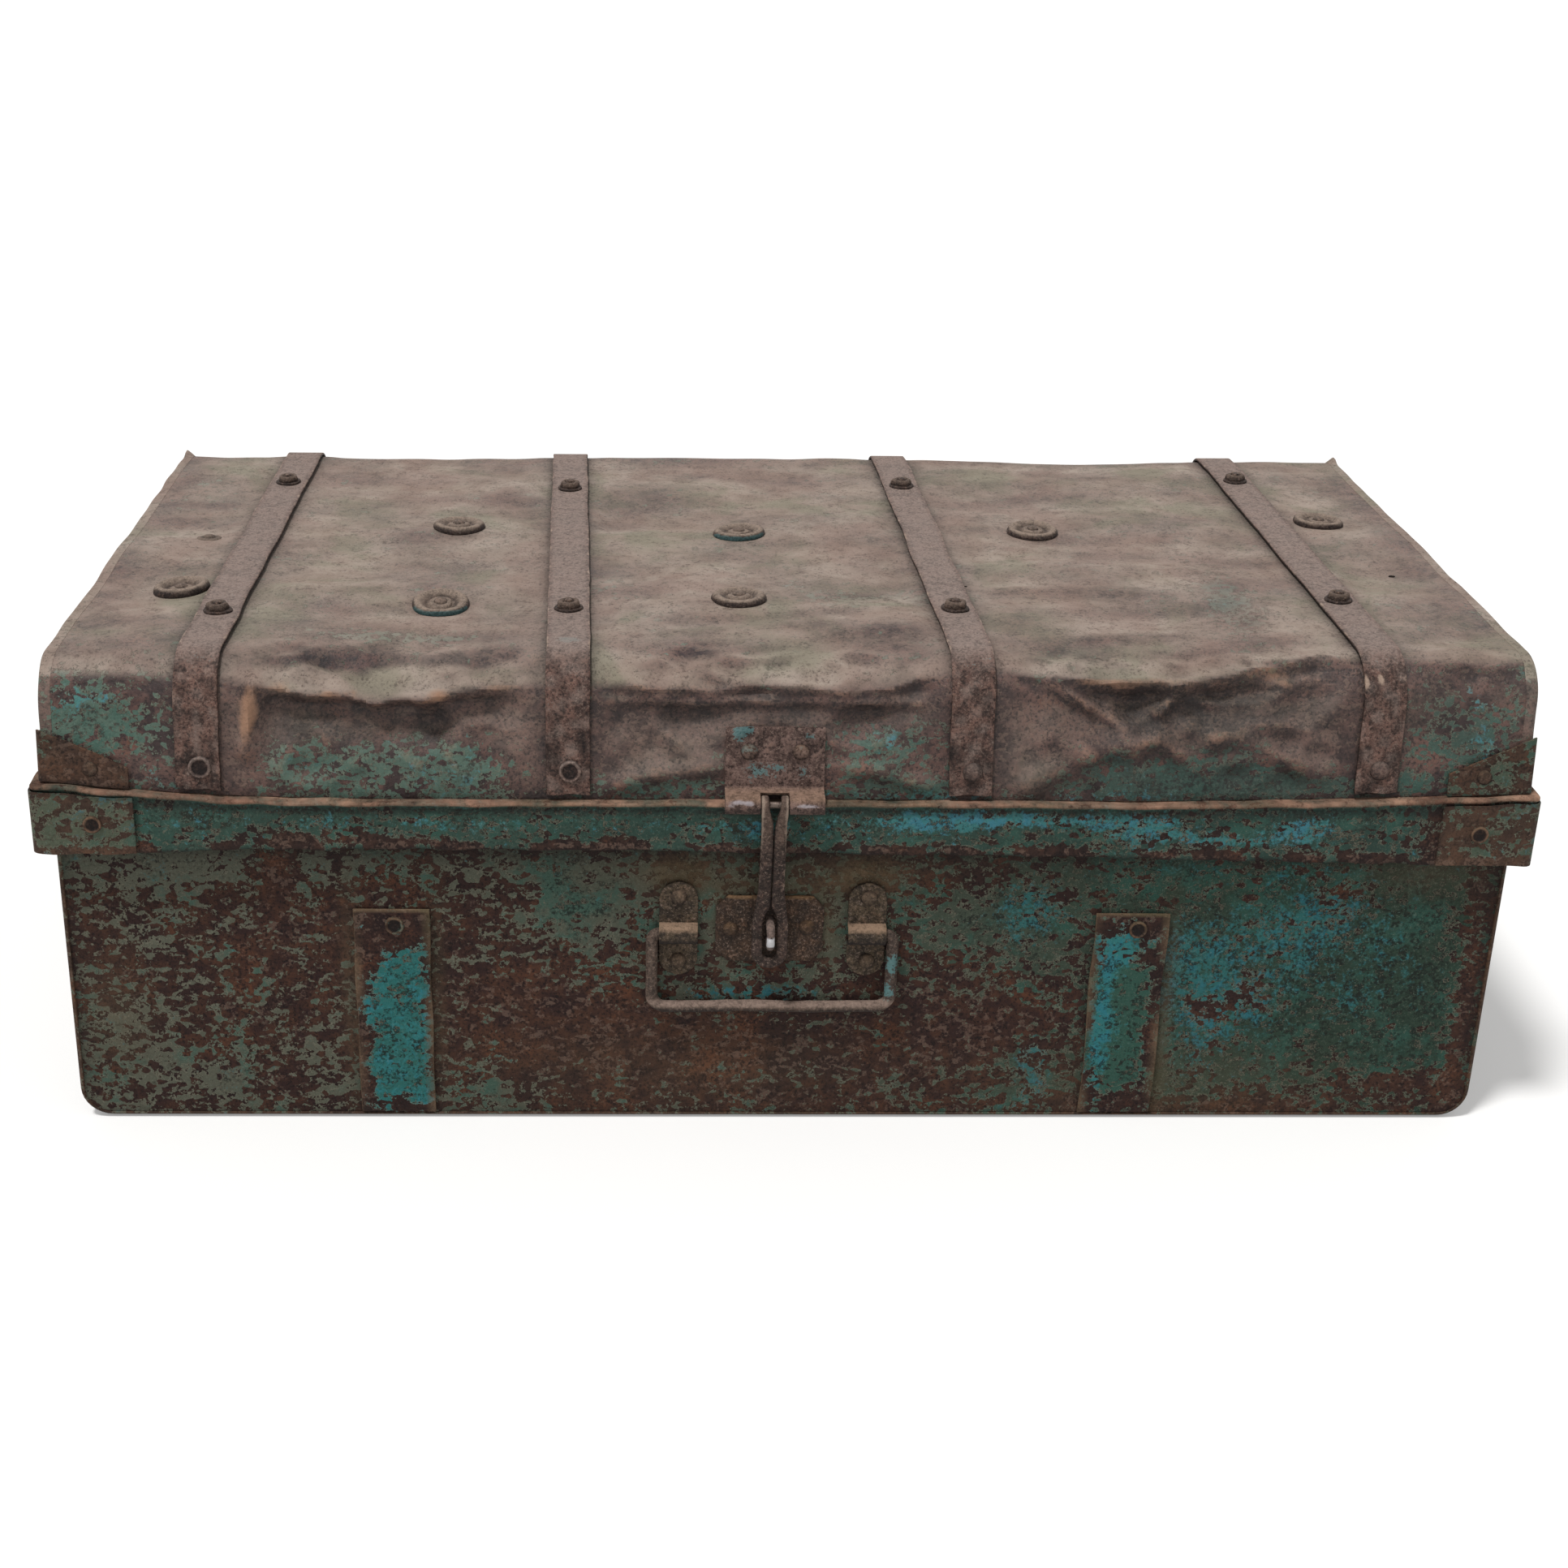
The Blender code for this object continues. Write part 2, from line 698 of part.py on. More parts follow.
def make_cap(index):
    """A dished washer with its rivet, on the lid's top."""
    x, y = cap_place(index)
    crest = CAP_RADIUS - CAP_RIM
    dish = crest - CAP_CROWN
    floor = CAP_HEIGHT - CAP_DISH
    profile = (
        (0.0, floor + CAP_RIVET_HEIGHT),
        (CAP_RIVET_RADIUS * RIVET_FACE_SHARE, floor + CAP_RIVET_HEIGHT),
        (CAP_RIVET_RADIUS, floor),
        (dish, floor),
        ((crest + dish) / 2, CAP_HEIGHT),
        (crest, CAP_HEIGHT),
        (CAP_RADIUS, SHEET),
        (CAP_RADIUS, 0.0),
        (0.0, 0.0),
    )
    cap = turned("lid_cap_%d" % (index + 1), profile, CAP_SIDES, "strap_iron")
    cap.location = (x, y, LID_TOP + SEAT_GAP)


# Corner patches

def corner_patch(name, face_x, face_y, leg, low, high, fall_share, finish):
    """An angle of sheet round a vertical corner, its top edge falling away from the corner."""
    side_x = math.copysign(1.0, face_x)
    side_y = math.copysign(1.0, face_y)
    outer_x = face_x + side_x * PATCH_THICKNESS
    outer_y = face_y + side_y * PATCH_THICKNESS
    end_x = outer_x - side_x * leg
    end_y = outer_y - side_y * leg
    outline = (
        (end_x, outer_y),
        (outer_x, outer_y),
        (outer_x, end_y),
        (face_x, end_y),
        (face_x, face_y),
        (end_x, face_y),
    )
    corners = [Vector((x, y, low)) for x, y in outline]
    patch = plate(name, corners, Vector((0.0, 0.0, high - low)), finish)
    for vert in patch.data.vertices:
        if vert.co.z > (low + high) / 2:
            away = abs(vert.co.x - outer_x) + abs(vert.co.y - outer_y)
            vert.co.z -= fall_share * away
    return patch


def make_skirt_patch(name, side_x, side_y):
    """Patch round a corner of the skirt, with one rivet in each leg."""
    face_x = side_x * (BAND_WIDTH / 2 + SEAT_GAP)
    face_y = side_y * (BAND_DEPTH / 2 + SEAT_GAP)
    high = LEDGE_TOP - LIP_HEIGHT - LIP_RELIEF
    leg = SKIRT_PATCH_LEG
    patch = corner_patch(name, face_x, face_y, leg, BAND_BOTTOM, high, 0.0, "band_paint")
    middle = (BAND_BOTTOM + high) / 2
    outer_x = face_x + side_x * PATCH_THICKNESS
    outer_y = face_y + side_y * PATCH_THICKNESS
    inward = SKIRT_PATCH_RIVET
    rivet_on(patch, Vector((outer_x - side_x * inward, outer_y, middle)), Vector((0, side_y, 0)))
    rivet_on(patch, Vector((outer_x, outer_y - side_y * inward, middle)), Vector((side_x, 0, 0)))


def make_lid_patch(name, side_x, side_y):
    """Patch round a lower corner of the lid, its top edge falling away from the corner."""
    lap = SHEET + SEAT_GAP
    face_x = side_x * (LID_WIDTH / 2 + SEAT_GAP)
    face_y = side_y * -lid_wall_y(LID_FOOT, lap + SEAT_GAP)
    high = LID_FOOT + LID_PATCH_HEIGHT
    leg = LID_PATCH_LEG
    fall_share = LID_PATCH_FALL / leg
    patch = corner_patch(name, face_x, face_y, leg, LID_FOOT, high, fall_share, "lid_paint")
    shear(patch, math.tan(LID_LEAN) * -side_y, LID_FOOT)
    height = LID_FOOT + LID_PATCH_RIVET_RISE
    outer = side_y * -lid_wall_y(height, lap + SEAT_GAP + PATCH_THICKNESS * math.cos(LID_LEAN))
    spot = Vector((face_x - side_x * LID_PATCH_RIVET, outer, height))
    rivet_on(patch, spot, Vector((0.0, side_y * math.cos(LID_LEAN), math.sin(LID_LEAN))))
    outer_x = face_x + side_x * PATCH_THICKNESS
    spot = Vector((outer_x, face_y - side_y * LID_PATCH_RIVET, height))
    rivet_on(patch, spot, Vector((side_x, 0.0, 0.0)))


# Hasp and staple

def hasp_centre():
    """The X of the hasp, and the Y and Z of its pin."""
    deep = LIP_FRONT - LIP_CLEARANCE - KNUCKLE_RADIUS
    return BODY_WIDTH * HASP_SHARE, deep, LEDGE_TOP - HASP_AXIS_DROP


def knuckle(target, x_low, x_high, deep, high, radius):
    """Roll a knuckle on to a leaf: a short bar along X, joined to it."""
    near = Vector((x_low, deep, high))
    far = Vector((x_high, deep, high))
    bar = rod(target.name + "_knuckle", near, far, radius, None)
    combine(target, bar, "UNION")


def bore(target, x_low, x_high, deep, high, radius):
    """Drill a pin hole along X through a leaf's knuckles."""
    drill = rod(
        target.name + "_bore",
        Vector((x_low - CUT_OVERRUN, deep, high)),
        Vector((x_high + CUT_OVERRUN, deep, high)),
        radius,
        None,
    )
    combine(target, drill, "DIFFERENCE")


def make_hasp_plate():
    """Plate riveted on the lid's front, turned over the ledge into two knuckles, and its pin."""
    x, deep, high = hasp_centre()
    left = x - HASP_PLATE_WIDTH / 2
    right = x + HASP_PLATE_WIDTH / 2
    over_ledge = LEDGE_TOP + SEAT_GAP
    top = LID_FOOT + HASP_PLATE_HEIGHT
    path = [
        (lid_wall_y(top, SEAT_GAP), top),
        (lid_wall_y(over_ledge, SEAT_GAP), over_ledge),
        (deep, over_ledge),
    ]
    leaf = bent_sheet(
        "hasp_plate",
        in_yz(path, left),
        Vector((HASP_PLATE_WIDTH, 0.0, 0.0)),
        HASP_PLATE_THICKNESS,
        1,
        "hardware_iron",
    )
    half_gap = ARM_WIDTH / 2 + SEAT_GAP
    knuckle(leaf, left, x - half_gap, deep, high, KNUCKLE_RADIUS)
    knuckle(leaf, x + half_gap, right, deep, high, KNUCKLE_RADIUS)
    notch = block(
        "hasp_plate_notch",
        (x - half_gap, deep - KNUCKLE_RADIUS - CUT_OVERRUN, high - KNUCKLE_RADIUS - CUT_OVERRUN),
        (x + half_gap, deep + KNUCKLE_RADIUS, over_ledge + HASP_PLATE_THICKNESS + CUT_OVERRUN),
    )
    combine(leaf, notch, "DIFFERENCE")
    bore(leaf, left, right, deep, high, PIN_RADIUS + PIN_CLEARANCE)
    rivet_height = top - HASP_RIVET_DROP
    outer = lid_wall_y(rivet_height, SEAT_GAP + HASP_PLATE_THICKNESS)
    for side in (-1, 1):
        spot = Vector((x + side * HASP_RIVET_SPREAD, outer, rivet_height))
        rivet_on(leaf, spot, Vector((0.0, -math.cos(LID_LEAN), math.sin(LID_LEAN))))
    rod("hasp_pin", Vector((left, deep, high)), Vector((right, deep, high)), PIN_RADIUS, "worn_steel")


def staple_height():
    """The height of the staple's middle."""
    return BODY_TOP - STAPLE_DROP


def arm_end_back():
    """The Y of the back face of the hasp's slotted end, in front of the staple plate."""
    return FRONT_FACE - SEAT_GAP - STAPLE_PLATE_THICKNESS - ARM_STANDOFF


def make_hasp_arm():
    """The folded arm: a knuckle, a strap rolled to a seam down its front, and a slotted end."""
    x, deep, high = hasp_centre()
    end_middle = arm_end_back() - ARM_END_THICKNESS / 2
    end_high = staple_height() + ARM_END_ABOVE
    half_thick = ARM_THICKNESS / 2
    path = [
        (deep + half_thick, high),
        (deep + half_thick, high - ARM_STRAIGHT),
        (end_middle + half_thick, end_high),
        (end_middle + half_thick, end_high - ARM_END_THICKNESS),
    ]
    across = Vector((ARM_WIDTH, 0.0, 0.0))
    left = in_yz(path, x - ARM_WIDTH / 2)
    arm = bent_sheet("hasp", left, across, ARM_THICKNESS, 1, "hardware_iron")
    add_bevel(arm, ARM_ROUND, 2, ARM_SHARP)
    combine(arm, slotted_end(x), "UNION")
    knuckle(arm, x - ARM_WIDTH / 2, x + ARM_WIDTH / 2, deep, high, KNUCKLE_RADIUS)
    combine(arm, seam(x, path[:3]), "DIFFERENCE")
    combine(arm, fold_notch(x, deep, high), "DIFFERENCE")
    bore(arm, x - ARM_WIDTH / 2, x + ARM_WIDTH / 2, deep, high, PIN_RADIUS + PIN_CLEARANCE)
    origin_at(arm, Vector((x, deep, high)))


def seam(x, path):
    """The groove down the arm's front, where the two folded edges meet."""
    floor = ARM_THICKNESS - SEAM_DEPTH
    line = in_yz([(y - floor, z) for y, z in path], x - SEAM_WIDTH / 2)
    return bent_sheet("hasp_seam", line, Vector((SEAM_WIDTH, 0.0, 0.0)), CUT_OVERRUN, 1, None)


def slotted_end(x):
    """The arm's flat round end with the slot that passes over the staple."""
    middle = staple_height()
    half = ARM_END_WIDTH / 2
    low = middle - ARM_END_BELOW + half
    high = middle + ARM_END_ABOVE
    neck = ARM_WIDTH / 2 - ROOT_SINK
    outline = [
        *arc((x, low), half, math.pi, 2 * math.pi, ARC_STEPS * 2),
        (x + half, middle + SLOT_ABOVE / 2),
        (x + neck, high - ROOT_SINK),
        (x - neck, high - ROOT_SINK),
        (x - half, middle + SLOT_ABOVE / 2),
    ]
    through = Vector((0.0, -ARM_END_THICKNESS, 0.0))
    end = plate("hasp_end", in_xz(outline, arm_end_back()), through, None)
    slot_half = SLOT_WIDTH / 2
    slot = [
        *arc((x, middle - SLOT_BELOW + slot_half), slot_half, math.pi, 2 * math.pi),
        *arc((x, middle + SLOT_ABOVE - slot_half), slot_half, 0.0, math.pi),
    ]
    start = arm_end_back() + CUT_OVERRUN
    deep = Vector((0.0, -ARM_END_THICKNESS - 2 * CUT_OVERRUN, 0.0))
    cutter = plate("hasp_slot", in_xz(slot, start), deep, None)
    return combine(end, cutter, "DIFFERENCE")


def fold_notch(x, deep, high):
    """The V at the arm's top, where the two folded edges part round the pin."""
    front = deep - KNUCKLE_RADIUS - CUT_OVERRUN
    outline = (
        (x - NOTCH_WIDTH / 2, high + PIN_RADIUS),
        (x + NOTCH_WIDTH / 2, high + PIN_RADIUS),
        (x, high + PIN_RADIUS - NOTCH_DEPTH),
    )
    reach = KNUCKLE_RADIUS - PIN_RADIUS + CUT_OVERRUN
    return plate("fold_notch", in_xz(outline, front), Vector((0.0, reach, 0.0)), None)


def origin_at(item, point):
    """Move a piece's origin to a point on its joint's axis without moving the piece."""
    item.data.transform(Matrix.Translation(-point))
    item.location = point


def make_staple():
    """Chamfered plate riveted on the tub, with a wire staple through the plate and the wall."""
    x = hasp_centre()[0]
    middle = staple_height()
    half_width = STAPLE_PLATE_WIDTH / 2
    half_height = STAPLE_PLATE_HEIGHT / 2
    cut = STAPLE_PLATE_CORNER
    outline = []
    for side_x, side_z in ((1, 1), (-1, 1), (-1, -1), (1, -1)):
        corner = (
            (x + side_x * half_width, middle + side_z * (half_height - cut)),
            (x + side_x * (half_width - cut), middle + side_z * half_height),
        )
        outline.extend(corner if side_x == side_z else corner[::-1])
    back = FRONT_FACE - SEAT_GAP
    through = Vector((0.0, -STAPLE_PLATE_THICKNESS, 0.0))
    base = plate("staple_plate", in_xz(outline, back), through, "hardware_iron")
    front = back - STAPLE_PLATE_THICKNESS
    for side in (-1, 1):
        spot = Vector((x + side * STAPLE_RIVET_SPREAD, front, middle))
        rivet_on(base, spot, Vector((0.0, -1.0, 0.0)))
    reach = arm_end_back() - ARM_END_THICKNESS - STAPLE_PASS - STAPLE_WIRE
    tail = FRONT_FACE + SHEET + STAPLE_TAIL
    bend = STAPLE_RISE
    nose = arc((reach + bend, middle), bend, math.pi / 2, 1.5 * math.pi)
    points = in_yz([(tail, middle + STAPLE_RISE), *nose, (tail, middle - STAPLE_RISE)], x)
    wire("staple", points, STAPLE_WIRE, "worn_steel", resolution=3)
    return base


def drill_staple_holes(panel, base):
    """Holes for the staple's two legs through its plate and the tub's front."""
    x = hasp_centre()[0]
    for side in (-1, 1):
        height = staple_height() + side * STAPLE_RISE
        near = Vector((x, FRONT_FACE - CUT_OVERRUN, height))
        far = Vector((x, FRONT_FACE + SHEET + CUT_OVERRUN, height))
        drill = rod("staple_drill", near, far, STAPLE_WIRE + STAPLE_HOLE_CLEARANCE, None)
        combine(panel, drill, "DIFFERENCE")
        combine(base, drill, "DIFFERENCE")


# Drop handle

def bail_axis():
    """The Y and Z of the line that the drop handle turns on."""
    return FRONT_FACE - BAIL_WALL_GAP - BAIL_WIRE, BODY_TOP - HANDLE_DROP


def make_bail():
    """Round-wire drop handle with its two ends turned in through the brackets."""
    deep, high = bail_axis()
    middle = BODY_WIDTH * HANDLE_SHARE
    tight = BAIL_WIRE + BAIL_SIDE_GAP
    half = (BRACKET_SPREAD + BRACKET_WIDTH) / 2 + tight
    turn = BAIL_CORNER
    steps = ARC_STEPS // 2
    left_top = arc((-half + tight, -tight), tight, math.pi / 2, math.pi, steps)
    left_low = arc((-half + turn, turn - BAIL_FALL), turn, math.pi, 1.5 * math.pi, steps)
    left = [(BAIL_TAIL - half, 0.0), *left_top, *left_low]
    right = [(-x, z) for x, z in reversed(left)]
    points = [Vector((x, 0.0, z)) for x, z in left + right]
    bail = wire("handle_bail", points, BAIL_WIRE, "hardware_iron")
    bail.location = (middle, deep, high)


def make_bracket(name, side):
    """Round-ended strip riveted on the tub, bridged out over the handle's wire."""
    deep, high = bail_axis()
    wall = FRONT_FACE - SEAT_GAP
    eye = BAIL_WIRE + BAIL_CLEARANCE
    bridge = arc((deep, high), eye, math.pi / 2, 1.5 * math.pi)
    top = high + BRACKET_ABOVE
    low = high - BRACKET_BELOW
    path = [(wall, top), (wall, high + eye), *bridge, (wall, high - eye), (wall, low)]
    x = BODY_WIDTH * HANDLE_SHARE + side * BRACKET_SPREAD / 2
    half = BRACKET_WIDTH / 2
    strip = bent_sheet(
        name,
        in_yz(path, x - half),
        Vector((BRACKET_WIDTH, 0.0, 0.0)),
        BRACKET_THICKNESS,
        1,
        "hardware_iron",
    )
    ends = [
        *arc((x, top - half), half, 0.0, math.pi, ARC_STEPS * 2),
        *arc((x, low + half), half, math.pi, 2 * math.pi, ARC_STEPS * 2),
    ]
    reach = Vector((0.0, -2 * (eye + BRACKET_THICKNESS) - CUT_OVERRUN, 0.0))
    rounding = plate(name + "_ends", in_xz(ends, wall + CUT_OVERRUN), reach, None)
    combine(strip, rounding, "INTERSECT")
    for height in (top - BRACKET_RIVET_INSET, low + BRACKET_RIVET_INSET):
        spot = Vector((x, wall - BRACKET_THICKNESS, height))
        rivet_on(strip, spot, Vector((0.0, -1.0, 0.0)))


# Back hinges

def hinge_axis():
    """The Y and Z of the line that the lid turns on, behind and below the skirt."""
    return BAND_DEPTH / 2 + SEAT_GAP + HINGE_KNUCKLE, BAND_BOTTOM - HINGE_DROP


def make_hinge(word, side):
    """Butt hinge: a leaf riveted on the skirt, a jogged leaf on the tub's back, and a pin."""
    deep, high = hinge_axis()
    x = side * BODY_WIDTH * HINGE_SHARE
    left = x - HINGE_WIDTH / 2
    right = x + HINGE_WIDTH / 2
    make_lid_leaf("hinge_lid_leaf_" + word, x, left, right)
    make_base_leaf("hinge_base_leaf_" + word, x, left, right)
    pin_left = Vector((left, deep, high))
    pin_right = Vector((right, deep, high))
    rod("hinge_pin_" + word, pin_left, pin_right, HINGE_PIN, "worn_steel")


def make_lid_leaf(name, x, left, right):
    """The hinge leaf on the back of the skirt, with the middle knuckle."""
    deep, high = hinge_axis()
    skirt = BAND_DEPTH / 2 + SEAT_GAP
    top = BAND_BOTTOM + HINGE_LID_LEAF
    path = in_yz([(skirt, top), (skirt, high)], left)
    across = Vector((HINGE_WIDTH, 0.0, 0.0))
    leaf = bent_sheet(name, path, across, HINGE_THICKNESS, -1, "hardware_iron")
    half = HINGE_MIDDLE / 2
    knuckle(leaf, x - half, x + half, deep, high, HINGE_KNUCKLE)
    near = high - HINGE_KNUCKLE - CUT_OVERRUN
    far = high + HINGE_KNUCKLE + SEAT_GAP
    back = deep + HINGE_KNUCKLE
    for low_x, high_x in ((left - SEAT_GAP, x - half), (x + half, right + SEAT_GAP)):
        gap = block(name + "_gap", (low_x, skirt - CUT_OVERRUN, near), (high_x, back, far))
        combine(leaf, gap, "DIFFERENCE")
    bore(leaf, left, right, deep, high, HINGE_PIN + PIN_CLEARANCE)
    spread_rivets(leaf, x, skirt + HINGE_THICKNESS, top - HINGE_RIVET_INSET)


def make_base_leaf(name, x, left, right):
    """The hinge leaf on the tub's back, jogged out to carry the two outer knuckles."""
    deep, high = hinge_axis()
    outer = BODY_DEPTH / 2 + SEAT_GAP + HINGE_THICKNESS
    low = high - HINGE_BASE_LEAF
    under = high - HINGE_KNUCKLE
    path = [(deep, under), (deep - HINGE_THICKNESS, under), (outer, high - HINGE_JOG), (outer, low)]
    across = Vector((HINGE_WIDTH, 0.0, 0.0))
    leaf = bent_sheet(name, in_yz(path, left), across, HINGE_THICKNESS, 1, "hardware_iron")
    half = HINGE_MIDDLE / 2 + SEAT_GAP
    knuckle(leaf, left, x - half, deep, high, HINGE_KNUCKLE)
    knuckle(leaf, x + half, right, deep, high, HINGE_KNUCKLE)
    gap = block(
        name + "_gap",
        (x - half, deep - HINGE_KNUCKLE - SEAT_GAP, under - CUT_OVERRUN),
        (x + half, deep + HINGE_KNUCKLE + CUT_OVERRUN, high + HINGE_KNUCKLE + CUT_OVERRUN),
    )
    combine(leaf, gap, "DIFFERENCE")
    bore(leaf, left, right, deep, high, HINGE_PIN + PIN_CLEARANCE)
    spread_rivets(leaf, x, outer, low + HINGE_RIVET_INSET)


def spread_rivets(leaf, x, face, height):
    """Two rivets side by side on a hinge leaf at the trunk's back."""
    for side in (-1, 1):
        spot = Vector((x + side * HINGE_RIVET_SPREAD, face, height))
        rivet_on(leaf, spot, Vector((0.0, 1.0, 0.0)))


# The whole trunk

def build():
    """Make every piece of the trunk."""
    start_scene()
    make_tub()
    make_battens()
    lid_wrap = make_lid()
    make_band()
    straps = [make_strap(index) for index in range(len(STRAP_FRONT_SHARES))]
    drill_bolt_holes(straps, lid_wrap)
    for number, (index, x, y) in enumerate(bolt_places(), start=1):
        make_bolt("strap_bolt_%d" % number, x, y)
    for index in range(len(CAP_SHARES)):
        make_cap(index)
    for deep_word, side_y in (("front", -1), ("back", 1)):
        for wide_word, side_x in (("left", -1), ("right", 1)):
            corner = deep_word + "_" + wide_word
            make_skirt_patch("skirt_patch_" + corner, side_x, side_y)
            make_lid_patch("lid_patch_" + corner, side_x, side_y)
    make_hasp_plate()
    make_hasp_arm()
    base = make_staple()
    drill_staple_holes(parts.objects["tub_front"], base)
    make_bail()
    make_bracket("handle_bracket_left", -1)
    make_bracket("handle_bracket_right", 1)
    make_hinge("left", -1)
    make_hinge("right", 1)


build()
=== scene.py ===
"""Looks of an old sheet-steel travelling trunk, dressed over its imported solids.

Shapes are worked out in millimetres as whole arrays and stand where the solids stand. The sheet
that years have bent, the sagged ledge and the dented lid, is described by a few functions of
place, and whatever is riveted to that sheet is laid on with the same functions.
"""
import math

import bpy
import numpy as np
from mathutils import Matrix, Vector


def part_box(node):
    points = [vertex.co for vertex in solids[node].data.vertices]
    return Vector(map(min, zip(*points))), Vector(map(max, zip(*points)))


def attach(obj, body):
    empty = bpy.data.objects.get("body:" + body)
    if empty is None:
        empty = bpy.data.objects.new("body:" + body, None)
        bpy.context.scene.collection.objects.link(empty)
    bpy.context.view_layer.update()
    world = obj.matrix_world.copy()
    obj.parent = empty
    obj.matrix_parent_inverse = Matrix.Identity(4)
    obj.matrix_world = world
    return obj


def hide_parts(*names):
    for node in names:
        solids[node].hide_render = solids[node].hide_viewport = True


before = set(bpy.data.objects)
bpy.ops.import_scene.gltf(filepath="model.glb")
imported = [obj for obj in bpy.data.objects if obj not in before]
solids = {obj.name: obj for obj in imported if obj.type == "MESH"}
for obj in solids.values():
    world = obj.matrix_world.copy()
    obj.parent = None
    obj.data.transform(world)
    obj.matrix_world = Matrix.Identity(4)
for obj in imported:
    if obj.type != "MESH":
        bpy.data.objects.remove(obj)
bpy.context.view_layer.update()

# The studio: a pale floor in plain soft light, seen from a little above the front, left of the
# middle. The floor is lit like any floor and keeps the shadow; what the camera sees of it is
# lifted to white.

MM = 0.001
LENS, SENSOR = 52.668, 36.0
FLOOR_HALF, FLOOR_LIFT, SKY_STRENGTH, LAMP_STRENGTH = 30, 0.24, 0.44, 2.2
yaw, pitch, roll = 0.0634, 0.4043, 0.0343
eye = (-0.0748, -1.2700, 0.6515)
look = np.array([math.sin(yaw) * math.cos(pitch), math.cos(yaw) * math.cos(pitch),
                 -math.sin(pitch)])
level = np.array([math.cos(yaw), -math.sin(yaw), 0.0])
upward = np.cross(level, look)
turn = np.eye(4)
turn[:3, 0] = math.cos(roll) * level + math.sin(roll) * upward
turn[:3, 1] = math.cos(roll) * upward - math.sin(roll) * level
turn[:3, 2] = -look
turn[:3, 3] = eye
camera = bpy.data.objects.new("camera", bpy.data.cameras.new("camera"))
camera.data.lens = LENS
camera.data.sensor_width = SENSOR
camera.matrix_world = Matrix(turn.tolist())
bpy.context.scene.collection.objects.link(camera)
bpy.context.scene.camera = camera
bpy.context.scene.view_settings.view_transform = "Standard"


class Coat:
    """The node tree of one finish. Its calls add a node, set or join its inputs, and give its
    output."""

    def __init__(self, name, kind="materials"):
        """Start an empty tree for a material, or for the world round the object."""
        self.owner = getattr(bpy.data, kind).new(name)
        self.owner.use_nodes = True
        self.tree = self.owner.node_tree
        self.tree.nodes.clear()

    def add(self, kind, inputs, output=0, **settings):
        """Add a node: settings are its own choices, and an input is a value or a node's output."""
        node = self.tree.nodes.new("ShaderNode" + kind)
        for key, value in settings.items():
            setattr(node, key, value)
        for key, value in inputs.items():
            if isinstance(value, bpy.types.NodeSocket):
                self.tree.links.new(value, node.inputs[key])
            else:
                node.inputs[key].default_value = value
        return node.outputs[output]

    def sum(self, *terms):
        """The sum of pairs of a value and its weight."""
        total = None
        for value, weight in terms:
            total = self.add("Math", {0: value, 1: weight, 2: total or 0.0},
                             operation="MULTIPLY_ADD")
        return total

    def times(self, a, b):
        """Two values multiplied, held between nought and one."""
        return self.add("Math", {0: a, 1: b}, operation="MULTIPLY", use_clamp=True)

    def step(self, value, low, high, start=0.0, end=1.0):
        """A soft step: start below low, end above high."""
        return self.add("MapRange", {"Value": value, "From Min": low, "From Max": high,
                                     "To Min": start, "To Max": end},
                        interpolation_type="SMOOTHSTEP")

    def mix(self, amount, under, over):
        """The colour under, turned into the one over it by an amount."""
        return self.add("Mix", {0: amount, 6: under, 7: over}, 2, data_type="RGBA")

    def lay(self, under, over, terms, low, high, start=0.0, end=1.0):
        """Lay a colour over another where a value, or a sum of weighted ones, passes a step."""
        value = self.sum(*terms) if isinstance(terms, tuple) else terms
        return self.mix(self.step(value, low, high, start, end), under, over)

    def noise(self, size, detail=4.0, rough=0.6, twist=0.0, stretch=None):
        """Cloudy noise whose lumps are about size millimetres across."""
        place = self.add("TexCoord", {}, "Object")
        if stretch:
            place = self.add("Mapping", {"Vector": place, "Scale": stretch})
        return self.add("TexNoise", {"Vector": place, "Scale": 1.0 / (size * MM),
                                     "Detail": detail, "Roughness": rough, "Distortion": twist})

    def chips(self, size):
        """Broken cells about size millimetres across, their outlines pushed about by noise: a
        random tone for each cell, and how near its edge a place is."""
        place = self.add("TexCoord", {}, "Object")
        push = self.add("TexNoise", {"Vector": place, "Scale": 0.8 / (size * MM), "Detail": 4.0,
                                     "Roughness": 0.65}, 1)
        place = self.add("VectorMath", {0: push, 1: (size * MM,) * 3, 2: place},
                         operation="MULTIPLY_ADD")
        place = self.add("Mapping", {"Vector": place, "Scale": (0.72, 0.85, 1.1)})
        tone = self.add("TexVoronoi", {"Vector": place, "Scale": 1.0 / (size * MM)}, 1)
        edge = self.add("TexVoronoi", {"Vector": place, "Scale": 1.0 / (size * MM)}, 0,
                        feature="DISTANCE_TO_EDGE")
        return tone, edge

    def mark(self, name):
        """One of the amounts that the mesh carries at its points."""
        return self.add("Attribute", {}, "Fac", attribute_name=name)

    def surface(self, inputs, height=None):
        """The shader and the way out of the tree; height is the relief in metres."""
        if height is not None:
            inputs["Normal"] = self.add("Bump", {"Height": height, "Distance": 1.0,
                                                 "Strength": 1.0})
        self.finish(self.add("BsdfPrincipled", inputs))
        return self.owner

    def finish(self, shader, kind="Material"):
        """Join a shader to the way out of the tree."""
        out = self.tree.nodes.new("ShaderNodeOutput" + kind)
        self.tree.links.new(shader, out.inputs["Surface"])


def shade(red, green, blue):
    """A colour as the eye reads it, 0 to 255, turned into the light it sends back."""
    seen = np.array([red, green, blue]) / 255.0
    light = np.where(seen <= 0.04045, seen / 12.92, ((seen + 0.055) / 1.055) ** 2.4)
    return (*light.tolist(), 1.0)


